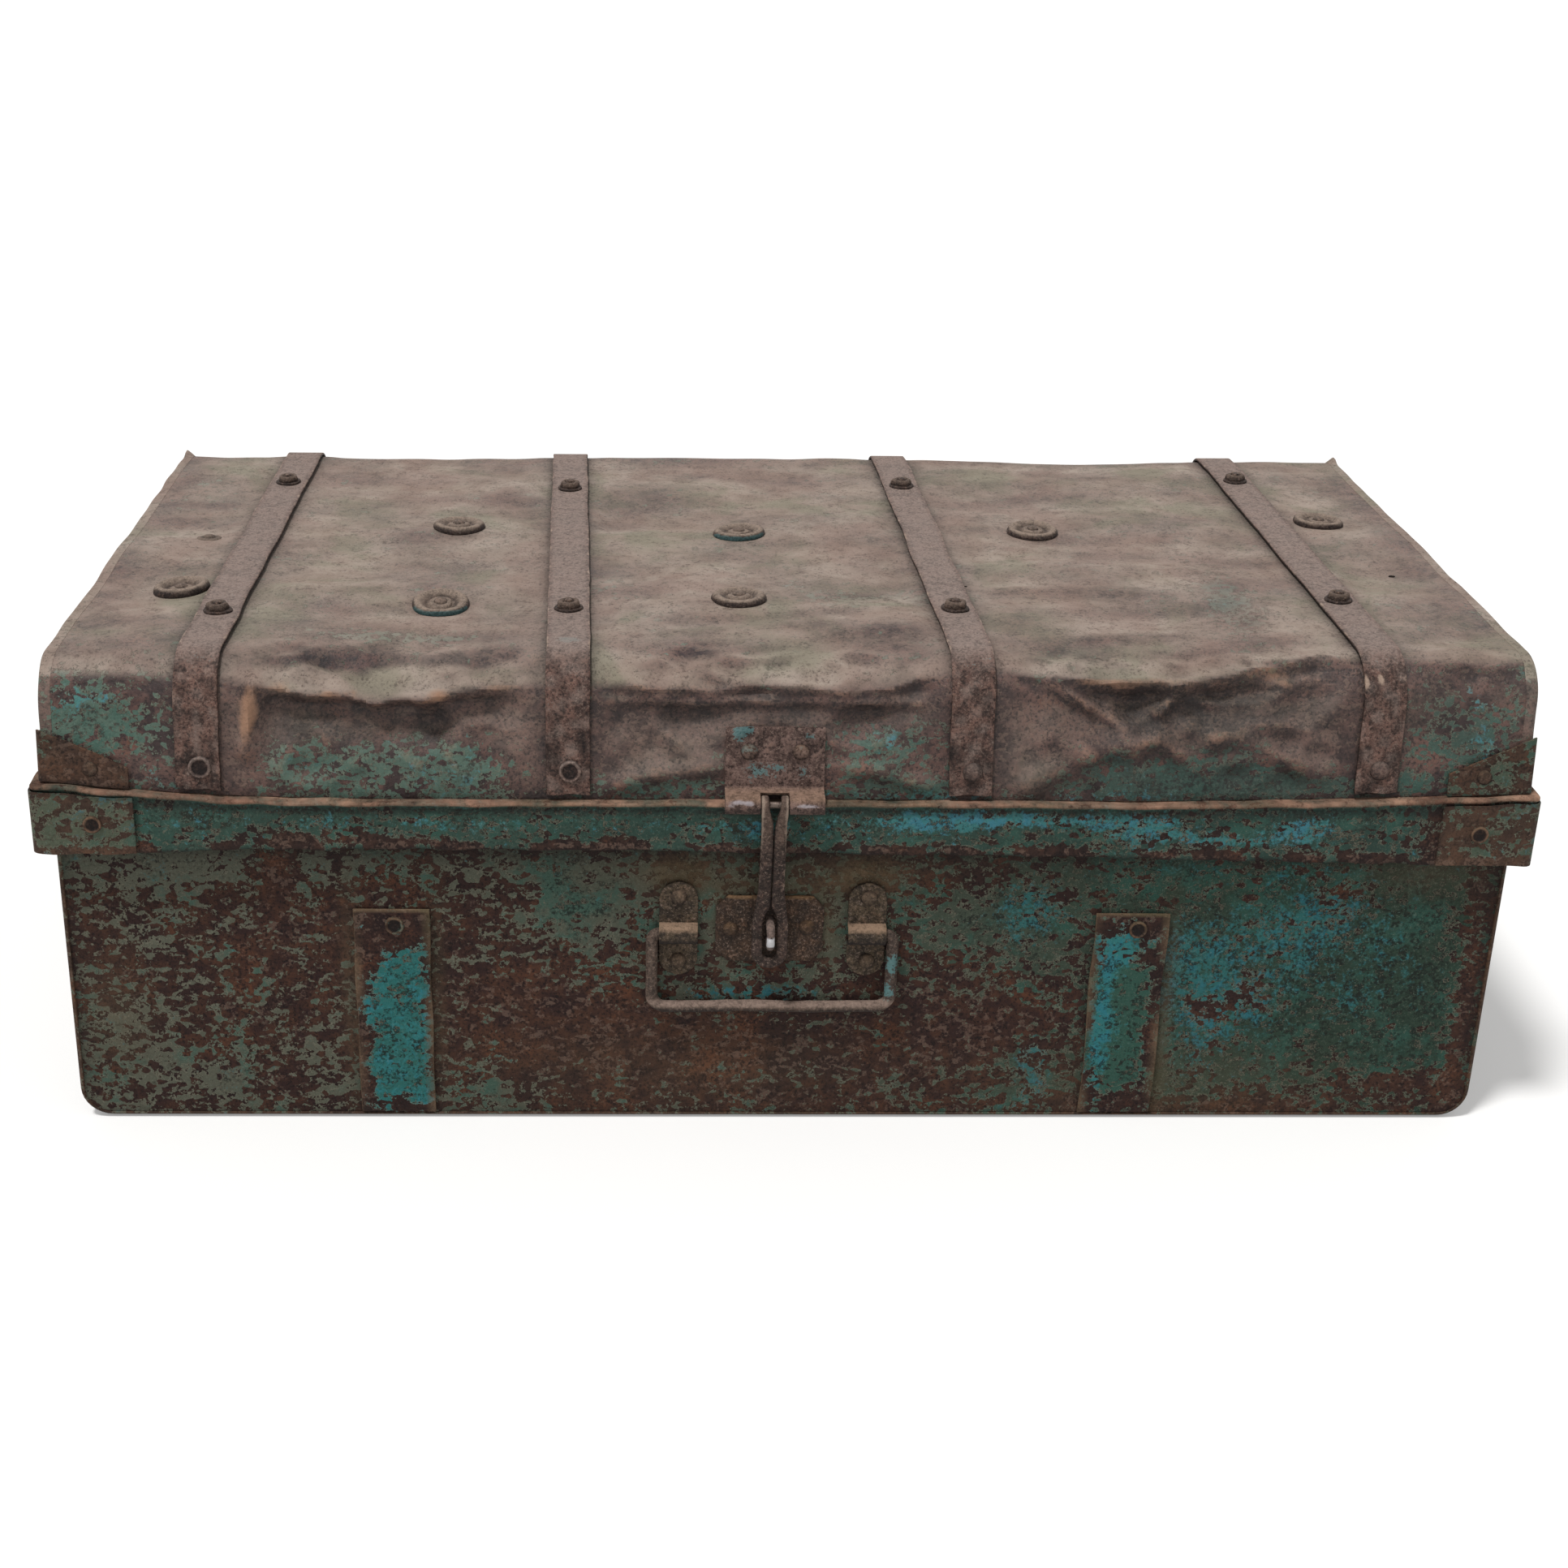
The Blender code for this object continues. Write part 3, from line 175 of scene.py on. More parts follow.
def seen_rays(coat):
    """One where the ray comes from the camera, a mirror or glass."""
    path = coat.add("LightPath", {}, "Is Camera Ray").node
    either = coat.add("Math", {0: path.outputs["Is Camera Ray"], 1: path.outputs["Is Glossy Ray"]},
                      operation="MAXIMUM")
    return coat.add("Math", {0: either, 1: path.outputs["Is Transmission Ray"]},
                    operation="MAXIMUM")


floor_coat = Coat("studio_floor")
floor_light = floor_coat.add("BsdfDiffuse", {"Color": shade(232, 231, 229)})
floor_lift = floor_coat.add("Emission", {"Color": shade(255, 255, 255),
                                         "Strength": floor_coat.times(seen_rays(floor_coat),
                                                                      FLOOR_LIFT)})
floor_coat.finish(floor_coat.add("AddShader", {0: floor_light, 1: floor_lift}))
floor_mesh = bpy.data.meshes.new("studio_floor")
floor_mesh.from_pydata([(x * FLOOR_HALF, y * FLOOR_HALF, 0.0)
                        for x, y in ((-1, -1), (1, -1), (1, 1), (-1, 1))], [], [(0, 1, 2, 3)])
floor_mesh.materials.append(floor_coat.owner)
floor = bpy.data.objects.new("studio_floor", floor_mesh)
bpy.context.scene.collection.objects.link(floor)

sky = Coat("studio_sky", "worlds")
sky_strength = sky.step(seen_rays(sky), 0.0, 1.0, SKY_STRENGTH, 1.0)
sky.finish(sky.add("Background", {"Color": shade(255, 255, 255), "Strength": sky_strength}),
           "World")
bpy.context.scene.world = sky.owner

lamp = bpy.data.objects.new("soft_lamp", bpy.data.lights.new("soft_lamp", "SUN"))
lamp.data.energy = LAMP_STRENGTH
lamp.data.angle = math.radians(9)
lamp.rotation_euler = (math.radians(14), math.radians(-17), 0.0)
bpy.context.scene.collection.objects.link(lamp)

# The tub: one sheet bent round the ends and the bottom, closed by a front and a back sheet whose
# edges are folded over it. Mild steel about a millimetre thick, painted green over blue, now
# half rust. The front's top edge has sagged with the ledge that rests on it.

SHEET = 1.1
TUB_HALF, TUB_DEEP, TUB_TOP, TUB_LOW = 372.0, 205.5, 192.0, 1.9
TUB_CORNER, FOLD, FLANGE = 15.0, 1.6, 6.0
SAG_FOOT = 125.0
# The amounts that each point carries. Besides dust, dirt and rubs, the dust mark also lays painted
# light, the grime mark painted shade and the wear mark painted highlights.
MARKS = ("paint", "bright", "dust", "grime", "wear")


def ramp(a, b, reach):
    """How far a stands past b, as a share of a reach, held between nought and one."""
    return np.clip((a - b) / reach, 0, 1)


def eased(x, knots, heights, soft):
    """A height read between knots along x, its corners eased by a running mean."""
    near = soft * np.array([-1.0, -0.5, 0.0, 0.5, 1.0])
    return np.mean([np.interp(x + step, knots, heights) for step in near], axis=0)


def ripple(u, v, length, seed, waves=9):
    """Gentle unevenness: the mean of sine waves of about one length, each with its own turn."""
    draw = np.random.default_rng(seed)
    total = np.zeros_like(u * v)
    for angle, phase, size in zip(draw.uniform(0, 2 * np.pi, waves),
                                  draw.uniform(0, 2 * np.pi, waves),
                                  length * draw.uniform(0.7, 1.4, waves)):
        total += np.sin((u * np.cos(angle) + v * np.sin(angle)) * 2 * np.pi / size + phase)
    return total / math.sqrt(waves)


def clouds(u, v, places):
    """Sum of soft patches, each (u, v, reach along u, reach along v, amount)."""
    total = np.zeros_like(u * v)
    for u0, v0, reach_u, reach_v, amount in places:
        total += amount * np.exp(-((u - u0) / reach_u) ** 2 - ((v - v0) / reach_v) ** 2)
    return total


def front_sag(x):
    """How far the trunk's front edge has sunk: nothing at the ends, most left of the middle."""
    return eased(x, (-384, -372, -331, -304, -278, -225, -185, -45, 30, 100, 182, 284, 338, 384),
                 (-1.6, -1.1, 3.1, 5.1, 6.3, 7.1, 7.1, 5.8, 5.2, 5.0, 4.9, 2.1, 0.0, -2.4), 10.0)


def front_share(y):
    """How much of the front's sinking a place feels: the square of how near the front it is."""
    return ramp(60.0, y, 260.0) ** 2


def settle(points):
    """Sink the front's upper part with the sagging edge: each point drops by the sag at its x,
    times its share of the front, times its share of the height to the power 1.6."""
    x, y, z = points[..., 0], points[..., 1], points[..., 2]
    high = ramp(z, SAG_FOOT, TUB_TOP - SAG_FOOT) ** 1.6
    return np.stack([x, y, z - front_sag(x) * front_share(y) * high], axis=-1)


def marks(like, **amounts):
    """What a finish reads at each point: five amounts, nought where nothing is said."""
    table = np.zeros((np.size(like), len(MARKS)))
    for name, amount in amounts.items():
        table[:, MARKS.index(name)] = np.ravel(np.broadcast_to(amount, np.shape(like)))
    return table


def grid_quads(rows, columns, ring=False):
    """Quads of a grid of points; a ring's last column joins its first."""
    index = np.arange(rows * columns).reshape(rows, columns)
    if ring:
        index = np.hstack([index, index[:, :1]])
    return np.stack([index[:-1, :-1], index[1:, :-1], index[1:, 1:], index[:-1, 1:]],
                    axis=-1).reshape(-1, 4)


def skin_normals(points, faces):
    """Unit directions at the points: the area-weighted mean of the faces round each."""
    a, b, c, d = (points[faces[:, k]] for k in range(4))
    flat = np.cross(c - a, d - b)
    total = np.zeros_like(points)
    for k in range(4):
        np.add.at(total, faces[:, k], flat)
    return total / np.maximum(np.linalg.norm(total, axis=1, keepdims=True), 1e-9)


def open_edges(faces):
    """Edges that only one quad uses, in that quad's direction."""
    edges = np.vstack([np.stack([faces[:, k], faces[:, (k + 1) % 4]], 1) for k in range(4)])
    edges = edges[edges[:, 0] != edges[:, 1]]
    key = np.sort(edges, axis=1)
    code = key[:, 0] * (faces.max() + 1) + key[:, 1]
    _, first, count = np.unique(code, return_index=True, return_counts=True)
    return edges[first[count == 1]]


def thicken(points, faces, amounts, thickness, inner=None):
    """Close a sheet: the skin, its copy a thickness further in, and strips along the edges."""
    inward = points - skin_normals(points, faces) * thickness
    count = len(points)
    rim = open_edges(faces)
    strip = np.stack([rim[:, 1], rim[:, 0], rim[:, 0] + count, rim[:, 1] + count], axis=1)
    closed = np.vstack([faces, faces[:, ::-1] + count, strip])
    return (np.vstack([points, inward]), [closed],
            np.vstack([amounts, amounts if inner is None else inner]))


def volume(points, faces):
    """Signed volume of a closed shape: positive where its faces look outwards."""
    total = 0.0
    for group in faces:
        first = points[group[:, 0]]
        for k in range(1, group.shape[1] - 1):
            total += np.sum(first * np.cross(points[group[:, k]], points[group[:, k + 1]]))
    return total / 6.0


def put(name, shapes, coat, body, replaced=(), sharp=38.0):
    """Make one piece of several closed shapes, in millimetres, and hang it on its body."""
    points, faces, amounts, base = [], [], [], 0
    for place, groups, table in shapes:
        flip = -1 if volume(place, groups) < 0 else 1
        for group in groups:
            faces.extend((group[:, ::flip] + base).tolist())
        points.append(place)
        amounts.append(table)
        base += len(place)
    mesh = bpy.data.meshes.new(name)
    mesh.from_pydata((np.vstack(points) * MM).tolist(), [], faces)
    for column, mark in enumerate(MARKS):
        layer = mesh.attributes.new(mark, "FLOAT", "POINT")
        layer.data.foreach_set("value", np.vstack(amounts)[:, column].astype(np.float32))
    mesh.shade_smooth()
    mesh.set_sharp_from_angle(angle=math.radians(sharp))
    mesh.materials.append(coat)
    piece = bpy.data.objects.new(name, mesh)
    bpy.context.scene.collection.objects.link(piece)
    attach(piece, body)
    if replaced:
        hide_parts(*replaced)


def tinted(colour, red, green, blue):
    """A colour with each of its lights multiplied."""
    return (colour[0] * red, colour[1] * green, colour[2] * blue, 1.0)


def old_paint(name, ground, ground_warm, paint, paint_far, bright, bright_far, dust, dust_dark,
              chip=3.0, cover=0.5, specular=0.12, gloss=0.66):
    """Paint that flakes off rusted sheet.

    Broken cells and cloudy noise plus the piece's paint mark, past a threshold, leave chips of
    paint with pale curled edges; the bright mark lets the older blue coat show through; dust in
    two tones and dirt lie over all. The dust mark also lays painted light and the grime mark
    painted shade; the wear mark lays a pale tan that is rubbed metal and painted highlight.
    """
    coat = Coat(name)
    broad = coat.noise(34.0, 3.0, 0.55)
    middle = coat.noise(9.0, 4.0, 0.6, 0.3)
    fine = coat.noise(1.7, 4.0, 0.68, 0.2)
    grit = coat.noise(0.55, 2.0, 0.6)
    tint = coat.noise(24.0, 5.0, 0.65)
    tone, edge = coat.chips(chip)
    field = coat.sum((tone, 0.22), (middle, 0.27), (broad, 0.22), (fine, 0.29),
                     (coat.mark("paint"), 0.13))
    keep = coat.step(field, cover - 0.008, cover + 0.008)
    nearly = coat.step(field, cover + 0.01, cover + 0.06, 1.0, 0.0)
    curled = coat.times(coat.times(keep, coat.step(edge, 0.02, 0.15, 1.0, 0.0)), nearly)
    rim = coat.times(keep, coat.step(field, cover + 0.008, cover + 0.036, 1.0, 0.0))
    rim = coat.add("Math", {0: rim, 1: curled}, operation="MAXIMUM")
    bare = coat.lay(ground, ground_warm, ((middle, 0.5), (tint, 0.5)), 0.40, 0.62)
    bare = coat.lay(bare, shade(104, 64, 44), ((tint, 0.55), (fine, 0.45)), 0.54, 0.68, 0.0, 0.6)
    bare = coat.lay(bare, shade(24, 18, 18), fine, 0.36, 0.50, 0.86, 0.0)
    bare = coat.lay(bare, shade(122, 100, 88), ((fine, 0.6), (tone, 0.4)), 0.53, 0.64, 0.0, 0.44)
    side = coat.add("SeparateXYZ", {0: coat.add("TexCoord", {}, "Object")}, 0)
    top = coat.lay(paint, paint_far, ((side, 2.2), (tint, 0.8)), -0.25, 1.05)
    top = coat.lay(top, shade(48, 88, 78), tint, 0.46, 0.64, 0.0, 0.6)
    older = coat.lay(bright, bright_far, middle, 0.46, 0.60)
    top = coat.lay(top, older, ((coat.noise(5.0, 6.0, 0.72, 0.4), 0.55), (broad, 0.2),
                                (fine, 0.25), (coat.mark("bright"), 0.17)), 0.57, 0.67, 0.0, 0.85)
    top = coat.lay(top, shade(26, 30, 27), ((fine, 0.7), (tone, 0.3)), 0.39, 0.52, 0.88, 0.0)
    top = coat.lay(top, shade(126, 132, 118), ((fine, 0.6), (grit, 0.4)), 0.53, 0.67, 0.0, 0.38)
    top = coat.mix(coat.times(rim, 0.5), top, shade(142, 138, 120))
    colour = coat.mix(keep, bare, top)
    stain = coat.noise(58.0, 4.0, 0.6, 0.4)
    lying = coat.lay(dust_dark, dust, ((broad, 0.5), (tint, 0.25), (middle, 0.25)), 0.36, 0.62)
    lying = coat.lay(lying, tinted(dust_dark, 0.80, 1.00, 0.90), stain, 0.50, 0.64, 0.0, 0.65)
    lying = coat.lay(lying, tinted(dust_dark, 0.88, 0.74, 0.78), stain, 0.36, 0.50, 0.42, 0.0)
    lying = coat.lay(lying, shade(78, 62, 55), ((fine, 0.7), (middle, 0.3)), 0.36, 0.46, 0.45, 0.0)
    lying = coat.lay(lying, shade(176, 162, 148), ((fine, 0.4), (grit, 0.6)), 0.52, 0.68, 0.0, 0.30)
    # Dust in two tones, and painted light where the dust mark carries it.
    held = coat.step(coat.sum((middle, 0.5), (fine, 0.5)), 0.32, 0.52, 0.68, 1.0)
    dusty = coat.times(coat.mark("dust"), held)
    colour = coat.mix(dusty, colour, lying)
    # Dirt darkens towards near black, and so does the painted shade that the grime mark carries.
    dark = coat.times(coat.mark("grime"), coat.step(fine, 0.30, 0.62, 1.0, 0.6))
    colour = coat.mix(dark, colour, shade(30, 25, 24))
    # A pale tan for rubbed metal, and for the painted highlights that the wear mark carries.
    colour = coat.lay(colour, shade(160, 122, 96), ((coat.mark("wear"), 1.0), (middle, 0.5),
                                                    (fine, 0.35)), 0.62, 1.15, 0.0, 0.75)
    rough = coat.step(coat.sum((dusty, 0.7), (grit, 0.3)), 0.1, 0.9, gloss, 0.92)
    relief = coat.sum((keep, 0.00018), (rim, 0.00022), (fine, 0.00055), (grit, 0.00012),
                      (middle, 0.0011), (broad, 0.0010))
    return coat.surface({"Base Color": colour, "Roughness": rough,
                         "Specular IOR Level": specular}, relief)


TUB_RUST = shade(48, 33, 31)
TUB_WARM = shade(76, 51, 40)
TAN_DUST = shade(112, 94, 74)
tub_coat = old_paint("tub_paint", TUB_RUST, TUB_WARM, shade(86, 87, 75), shade(42, 58, 48),
                     shade(46, 102, 102), shade(44, 106, 116), TAN_DUST, shade(88, 76, 56),
                     cover=0.53)


def tub_front_marks(x, z):
    """Where the front's paint has held, where blue shows, where dust and dirt have gathered, and
    where painted shade lies under the skirt, under the handle's bar and beside the battens.
    """
    paint = clouds(x, z, (
        (-300, 150, 90, 16, 0.8), (-340, 30, 60, 26, 0.5), (-235, 18, 60, 14, 0.5),
        (-330, 100, 30, 40, 0.15), (-250, 105, 60, 26, -0.25), (-265, 20, 16, 10, -1.1),
        (-265, 148, 14, 30, -0.9), (-120, 148, 50, 18, 0.6), (-112, 118, 26, 22, 0.9),
        (-125, 60, 60, 34, -0.6), (-160, 12, 25, 12, 0.7), (-10, 40, 110, 34, -0.45),
        (-20, 120, 70, 30, 0.7), (-60, 80, 30, 12, 0.5), (-10, 76, 44, 9, 0.6),
        (95, 118, 32, 24, 0.7), (110, 60, 44, 34, -0.55), (128, 26, 16, 20, 0.8),
        (130, 110, 16, 32, 0.6), (265, 90, 120, 90, 1.1), (190, 80, 26, 70, 0.4),
        (330, 80, 40, 90, 0.7), (245, 76, 14, 12, -1.3), (222, 66, 10, 8, -1.2),
        (330, 22, 30, 7, -1.4), (300, 132, 22, 12, -0.5), (362, 70, 9, 90, -1.3),
        (250, 6, 120, 7, -1.0)))
    bright = clouds(x, z, (
        (258, 108, 40, 22, 0.9), (205, 96, 22, 26, 0.7), (232, 66, 34, 22, 0.75),
        (285, 128, 22, 18, 0.7), (300, 70, 20, 14, 0.5), (222, 40, 14, 26, 0.5),
        (126, 124, 18, 18, 0.9), (131, 38, 9, 11, 1.0), (133, 18, 9, 16, 0.8),
        (320, 92, 20, 20, 0.35), (-20, 75, 34, 6, 1.3), (-110, 120, 22, 20, 0.2),
        (240, 150, 60, 10, 0.3), (-300, 150, 70, 12, 0.1)))
    dust = clouds(x, z, (
        (-228.5, 70, 5, 60, 0.35), (-185, 70, 4, 60, 0.3), (199, 60, 5, 62, 0.5),
        (-59.5, 144, 16, 11, 1.0), (38.3, 144, 16, 11, 1.0), (-12, 138, 30, 5, 0.5),
        (-36, 118, 7, 20, 0.4), (16, 118, 8, 22, 0.45), (-350, 60, 16, 30, 0.25),
        (330, 150, 34, 16, 0.3), (200, 20, 80, 22, 0.25), (-60, 30, 90, 24, 0.16),
        (-10, 150, 90, 8, 0.25)))
    # Painted shade: a band under the skirt, a line under the handle's bar and lines beside the
    # battens' edges. Darker also along the ends, the foot and the staple plate's foot.
    grime = clouds(x, z, (
        (0, 160, 800, 9, 0.85), (-12, 96, 14, 10, 0.4), (-10, 66, 60, 3, 0.3),
        (-369, 80, 4, 110, 0.5), (369, 80, 5, 110, 0.7), (0, 1, 800, 4, 0.6),
        (158, 70, 4, 60, 0.5), (-229, 70, 2, 62, 0.5), (-184.5, 70, 2, 62, 0.5),
        (199.5, 70, 2, 62, 0.5)))
    return {"paint": paint - 0.04, "bright": bright, "dust": np.clip(dust, 0, 0.8),
            "grime": np.clip(grime, 0, 0.9)}


def tub_pan(side):
    """A flat sheet with rounded lower corners, its edge rolled into a flange.

    Columns run across and rows down to the rounded outline; from that outline a quarter round
    and a flange run towards the middle of the tub.
    """
    half, low = TUB_HALF - FOLD, TUB_LOW + FOLD
    round_in = TUB_CORNER - FOLD
    across = np.concatenate([-half + round_in * (1 - np.cos(np.linspace(0, math.pi / 2, 9))),
                             np.linspace(-half + round_in, half - round_in, 262)[1:-1],
                             half - round_in * (1 - np.cos(np.linspace(math.pi / 2, 0, 9)))])
    over = np.clip(np.abs(across) - (half - round_in), 0.0, round_in)
    foot = low + round_in - np.sqrt(round_in ** 2 - over ** 2)
    down = np.linspace(0.0, 1.0, 70)[:, None]
    x = across[None, :] + 0 * down
    z = TUB_TOP + (foot[None, :] - TUB_TOP) * down
    rows, columns = x.shape
    held = 1 - np.clip(clouds(x, z, (
        (-12, 105, 75, 50, 1.3), (-206.8, 60, 28, 90, 1.2), (177.8, 60, 28, 90, 1.2))), 0, 1)
    edge = np.clip(np.minimum(half - np.abs(x), z - low) / 30.0, 0, 1)
    wave = held * edge * (0.7 + 0.7 * ripple(x, z, 150.0, 3 if side < 0 else 5))
    y = side * (TUB_DEEP - np.clip(wave, 0.0, 2.2))
    face = np.stack([x, y, z], -1).reshape(-1, 3)
    index = np.arange(rows * columns).reshape(rows, columns)
    loop = np.concatenate([index[:, 0], index[-1, 1:-1], index[::-1, -1]])
    path = face[loop]
    out_x = np.where(np.abs(path[:, 0]) > half - round_in,
                     np.sign(path[:, 0]) * over[np.searchsorted(across, path[:, 0] - 1e-6)
                                                .clip(0, len(across) - 1)] / round_in, 0.0)
    out_z = -np.sqrt(np.clip(1 - out_x ** 2, 0, 1))
    rings = [(FOLD * math.sin(angle), FOLD * (1 - math.cos(angle)))
             for angle in np.linspace(0, math.pi / 2, 5)[1:]] + [(FOLD, FOLD + 2.2), (FOLD, FLANGE)]
    strips = [np.stack([path[:, 0] + out_x * reach, np.full(len(path), side * (TUB_DEEP - back)),
                        path[:, 2] + out_z * reach], -1) for reach, back in rings]
    points = np.vstack([face, *strips])
    chain = np.vstack([loop, *(rows * columns + k * len(loop) + np.arange(len(loop))
                               for k in range(len(rings)))])
    fold = np.stack([chain[:-1, :-1], chain[:-1, 1:], chain[1:, 1:], chain[1:, :-1]],
                    -1).reshape(-1, 4)
    faces = np.vstack([grid_quads(rows, columns), fold])
    if side > 0:
        faces = faces[:, ::-1]
    return points, faces


for word, side in (("front", -1), ("back", 1)):
    points, faces = tub_pan(side)
    x, z = points[:, 0], points[:, 2]
    near_edge = np.clip(1 - np.minimum(TUB_HALF - np.abs(x), z - TUB_LOW) / 3.0, 0, 1)
    outer = marks(x, wear=0.25 * near_edge, **tub_front_marks(x * -side, z))
    inner = marks(x, paint=-0.25 + 0.2 * ripple(x, z, 120.0, 8), dust=0.2)
    shape = thicken(settle(points), faces, outer, SHEET, inner)
    put("tub_%s_sheet" % word, [shape], tub_coat, "base", ["tub_" + word])

solids["tub_wrap"].material_slots[0].material = tub_coat

# The tub's rim: its top edge rolled over a wire into a bead all round. The front one has sunk
# with the sheet; rust shows where the ledge has rubbed it.

BEAD, SEAT = 2.3, 0.3


def tube(loops, table):
    """Carry closed loops of points along a path, each row one loop, and cap its two ends."""
    rows, around = loops.shape[:2]
    first = np.arange(around)[None, :]
    return (loops.reshape(-1, 3), [grid_quads(rows, around, ring=True), first[:, ::-1],
                                   first + (rows - 1) * around], table)


def unit(rows):
    """Each row as a direction: divided by its own length."""
    return rows / np.linalg.norm(rows, axis=1, keepdims=True)


def round_loops(path, radius, around, side=(1.0, 0.0, 0.0)):
    """Circles of a radius set square to a path, turned from a fixed side direction."""
    run = unit(np.gradient(path, axis=0))
    first = unit(np.cross(run, side))
    second = np.cross(run, first)
    angle = np.arange(around) * 2 * math.pi / around
    reach = np.broadcast_to(radius, (len(path),))[:, None, None]
    return path[:, None, :] + reach * (np.cos(angle)[None, :, None] * first[:, None, :]
                                       + np.sin(angle)[None, :, None] * second[:, None, :])


for word, ends in (("front", ((-1, -1), (1, -1))), ("back", ((-1, 1), (1, 1))),
                   ("left", ((-1, -1), (-1, 1))), ("right", ((1, -1), (1, 1)))):
    long_way = word in ("front", "back")
    start, stop = (np.array([side_x * (TUB_HALF + BEAD + SEAT),
                             side_y * (TUB_DEEP + (BEAD + SEAT) * long_way), TUB_TOP - BEAD])
                   for side_x, side_y in ends)
    share = np.linspace(0.0, 1.0, 90)[:, None]
    path = start + (stop - start) * share
    loops = settle(round_loops(path, BEAD, 12, (0, 0, 1)))
    x = loops[..., 0]
    table = marks(x, paint=-0.1 + 0.25 * ripple(x, loops[..., 1], 90.0, 11), dust=0.35, wear=0.28)
    put("rim_%s" % word, [tube(loops, table)], tub_coat, "base",
        ["rim_bead_" + word])

# Two skids: flat iron battens riveted round the front, the bottom and the back of the tub. Bright
# paint is left on their fronts, with rust along the edges and a line of dust on top.

# Each batten's name and middle, the lean, foot and slant of its bright paint, its rivets' offset.
BATTENS = (("left", -206.8, 2.5, 10, 1, 1.5), ("right", 177.8, -3.0, 22, -1, 3))
BATTEN_WIDE, BATTEN_THICK, BATTEN_TOP = 39.0, 1.6, 124.0
HEAD_RING = ((0.0, 0.42), (0.4, 0.42), (0.62, 0.45), (0.74, 0.8), (0.86, 1.0), (0.96, 0.75),
             (1.0, 0.1), (1.0, -0.3))
HEAD_ROUND = ((0.0, 1.0), (0.35, 0.97), (0.62, 0.86), (0.82, 0.66), (0.95, 0.38), (1.0, 0.1),
              (1.0, -0.3))


def strip_loop(wide, thick, edge):
    """The outline of a flat bar, across and out from its back: a level top between two quarter
    rounds of the edge's radius, and the same rounds turned under."""
    corner = np.linspace(0, math.pi / 2, 4)
    half = wide / 2 - edge
    right = [(half + edge * math.sin(a), thick - edge + edge * math.cos(a)) for a in corner]
    low = [(half + edge * math.cos(a), edge - edge * math.sin(a)) for a in corner]
    inside = np.array([(x, thick) for x in np.linspace(-half, half, 9)[1:-1]])
    loop = [*inside.tolist(), *right, *low]
    return np.array(loop + [(-x, h) for x, h in [*low[::-1], *right[::-1]]])


def side_outward(path):
    """The outward directions of a path of (y, z) in a side view: its run turned by a right
    angle."""
    run = unit(np.gradient(path, axis=0))
    return np.stack([run[:, 1], -run[:, 0]], 1)


def turned(profile, sides, dents=0.0, seed=1, hexagon=0.0):
    """A turned shape: each radius times the cosine and sine of an angle, at its height, with a
    fan closing each pole. A share of hexagon gives it six flats, and dents push it about."""
    rings = np.array([(max(r, 0.0), h) for r, h in profile], float)
    angle = np.arange(sides) * 2 * math.pi / sides
    flat = math.cos(math.pi / 6) / np.cos(np.mod(angle, math.pi / 3) - math.pi / 6)
    shape = 1 + hexagon * (flat - 1) + dents * ripple(np.cos(angle) * 30, np.sin(angle) * 30,
                                                      40.0, seed)
    inner = rings[1:-1]
    across = inner[:, :1] * shape * np.cos(angle)
    along = inner[:, :1] * shape * np.sin(angle)
    up = np.broadcast_to(inner[:, 1:], across.shape)
    body = np.stack([across, along, up], -1).reshape(-1, 3)
    points = np.vstack([body, [[0, 0, rings[0, 1]], [0, 0, rings[-1, 1]]]])
    here = np.arange(sides)
    after = np.roll(here, -1)
    last = len(body) - sides
    top = np.stack([np.full(sides, len(body)), here, after], 1)
    foot = np.stack([np.full(sides, len(body) + 1), after + last, here + last], 1)
    return points, [grid_quads(len(inner), sides, ring=True), top, foot]


def bell(value, middle, reach):
    """One at the middle, falling off either side: e to the minus square of the distance, taken
    as a share of the reach."""
    return np.exp(-((value - middle) / reach) ** 2)


def head(centre, normal, radius, high, seed, profile=HEAD_ROUND):
    """A rivet head standing on a face: a low dome or a hollow ring, a little out of round. Dust
    lies on its upper side with a painted highlight, its lower side takes painted shade, and it
    is darker round its foot and in a ring's hollow middle."""
    normal = np.asarray(normal, float) / np.linalg.norm(normal)
    first = np.cross(normal, (0.0, 0.0, 1.0) if abs(normal[2]) < 0.9 else (0.0, 1.0, 0.0))
    first /= np.linalg.norm(first)
    local, faces = turned([(r * radius, h * high) for r, h in profile] + [(0, -0.3 * high)],
                          18, 0.02, seed)
    points = np.asarray(centre, float) + local @ np.stack([first, np.cross(normal, first), normal])
    rise = np.clip(local[:, 2] / high, 0, 1)
    ringed = profile is HEAD_RING
    sunk = (np.hypot(local[:, 0], local[:, 1]) < 0.7 * radius) * ringed
    # upper: how high a place stands on a head set on an upright face. The upper side is made
    # lighter, a painted highlight, and the lower side darker, a painted shade.
    upper = (points[:, 2] - centre[2]) / radius * (1 - abs(normal[2]))
    return points, faces, marks(
        rise, paint=-0.5,
        dust=(0.2 + 0.15 * ringed) * (1 - sunk) + 0.45 * np.clip(upper, 0, 1) * (1 - sunk),
        wear=(0.12 + 0.2 * ringed) * rise * (1 - sunk)
        + 0.18 * bell(upper, 0.45, 0.2) * (1 - ringed),
        grime=0.9 * (1 - rise) + 0.6 * sunk + 0.2 * (1 - ringed) + 0.5 * np.clip(-upper, 0, 1))


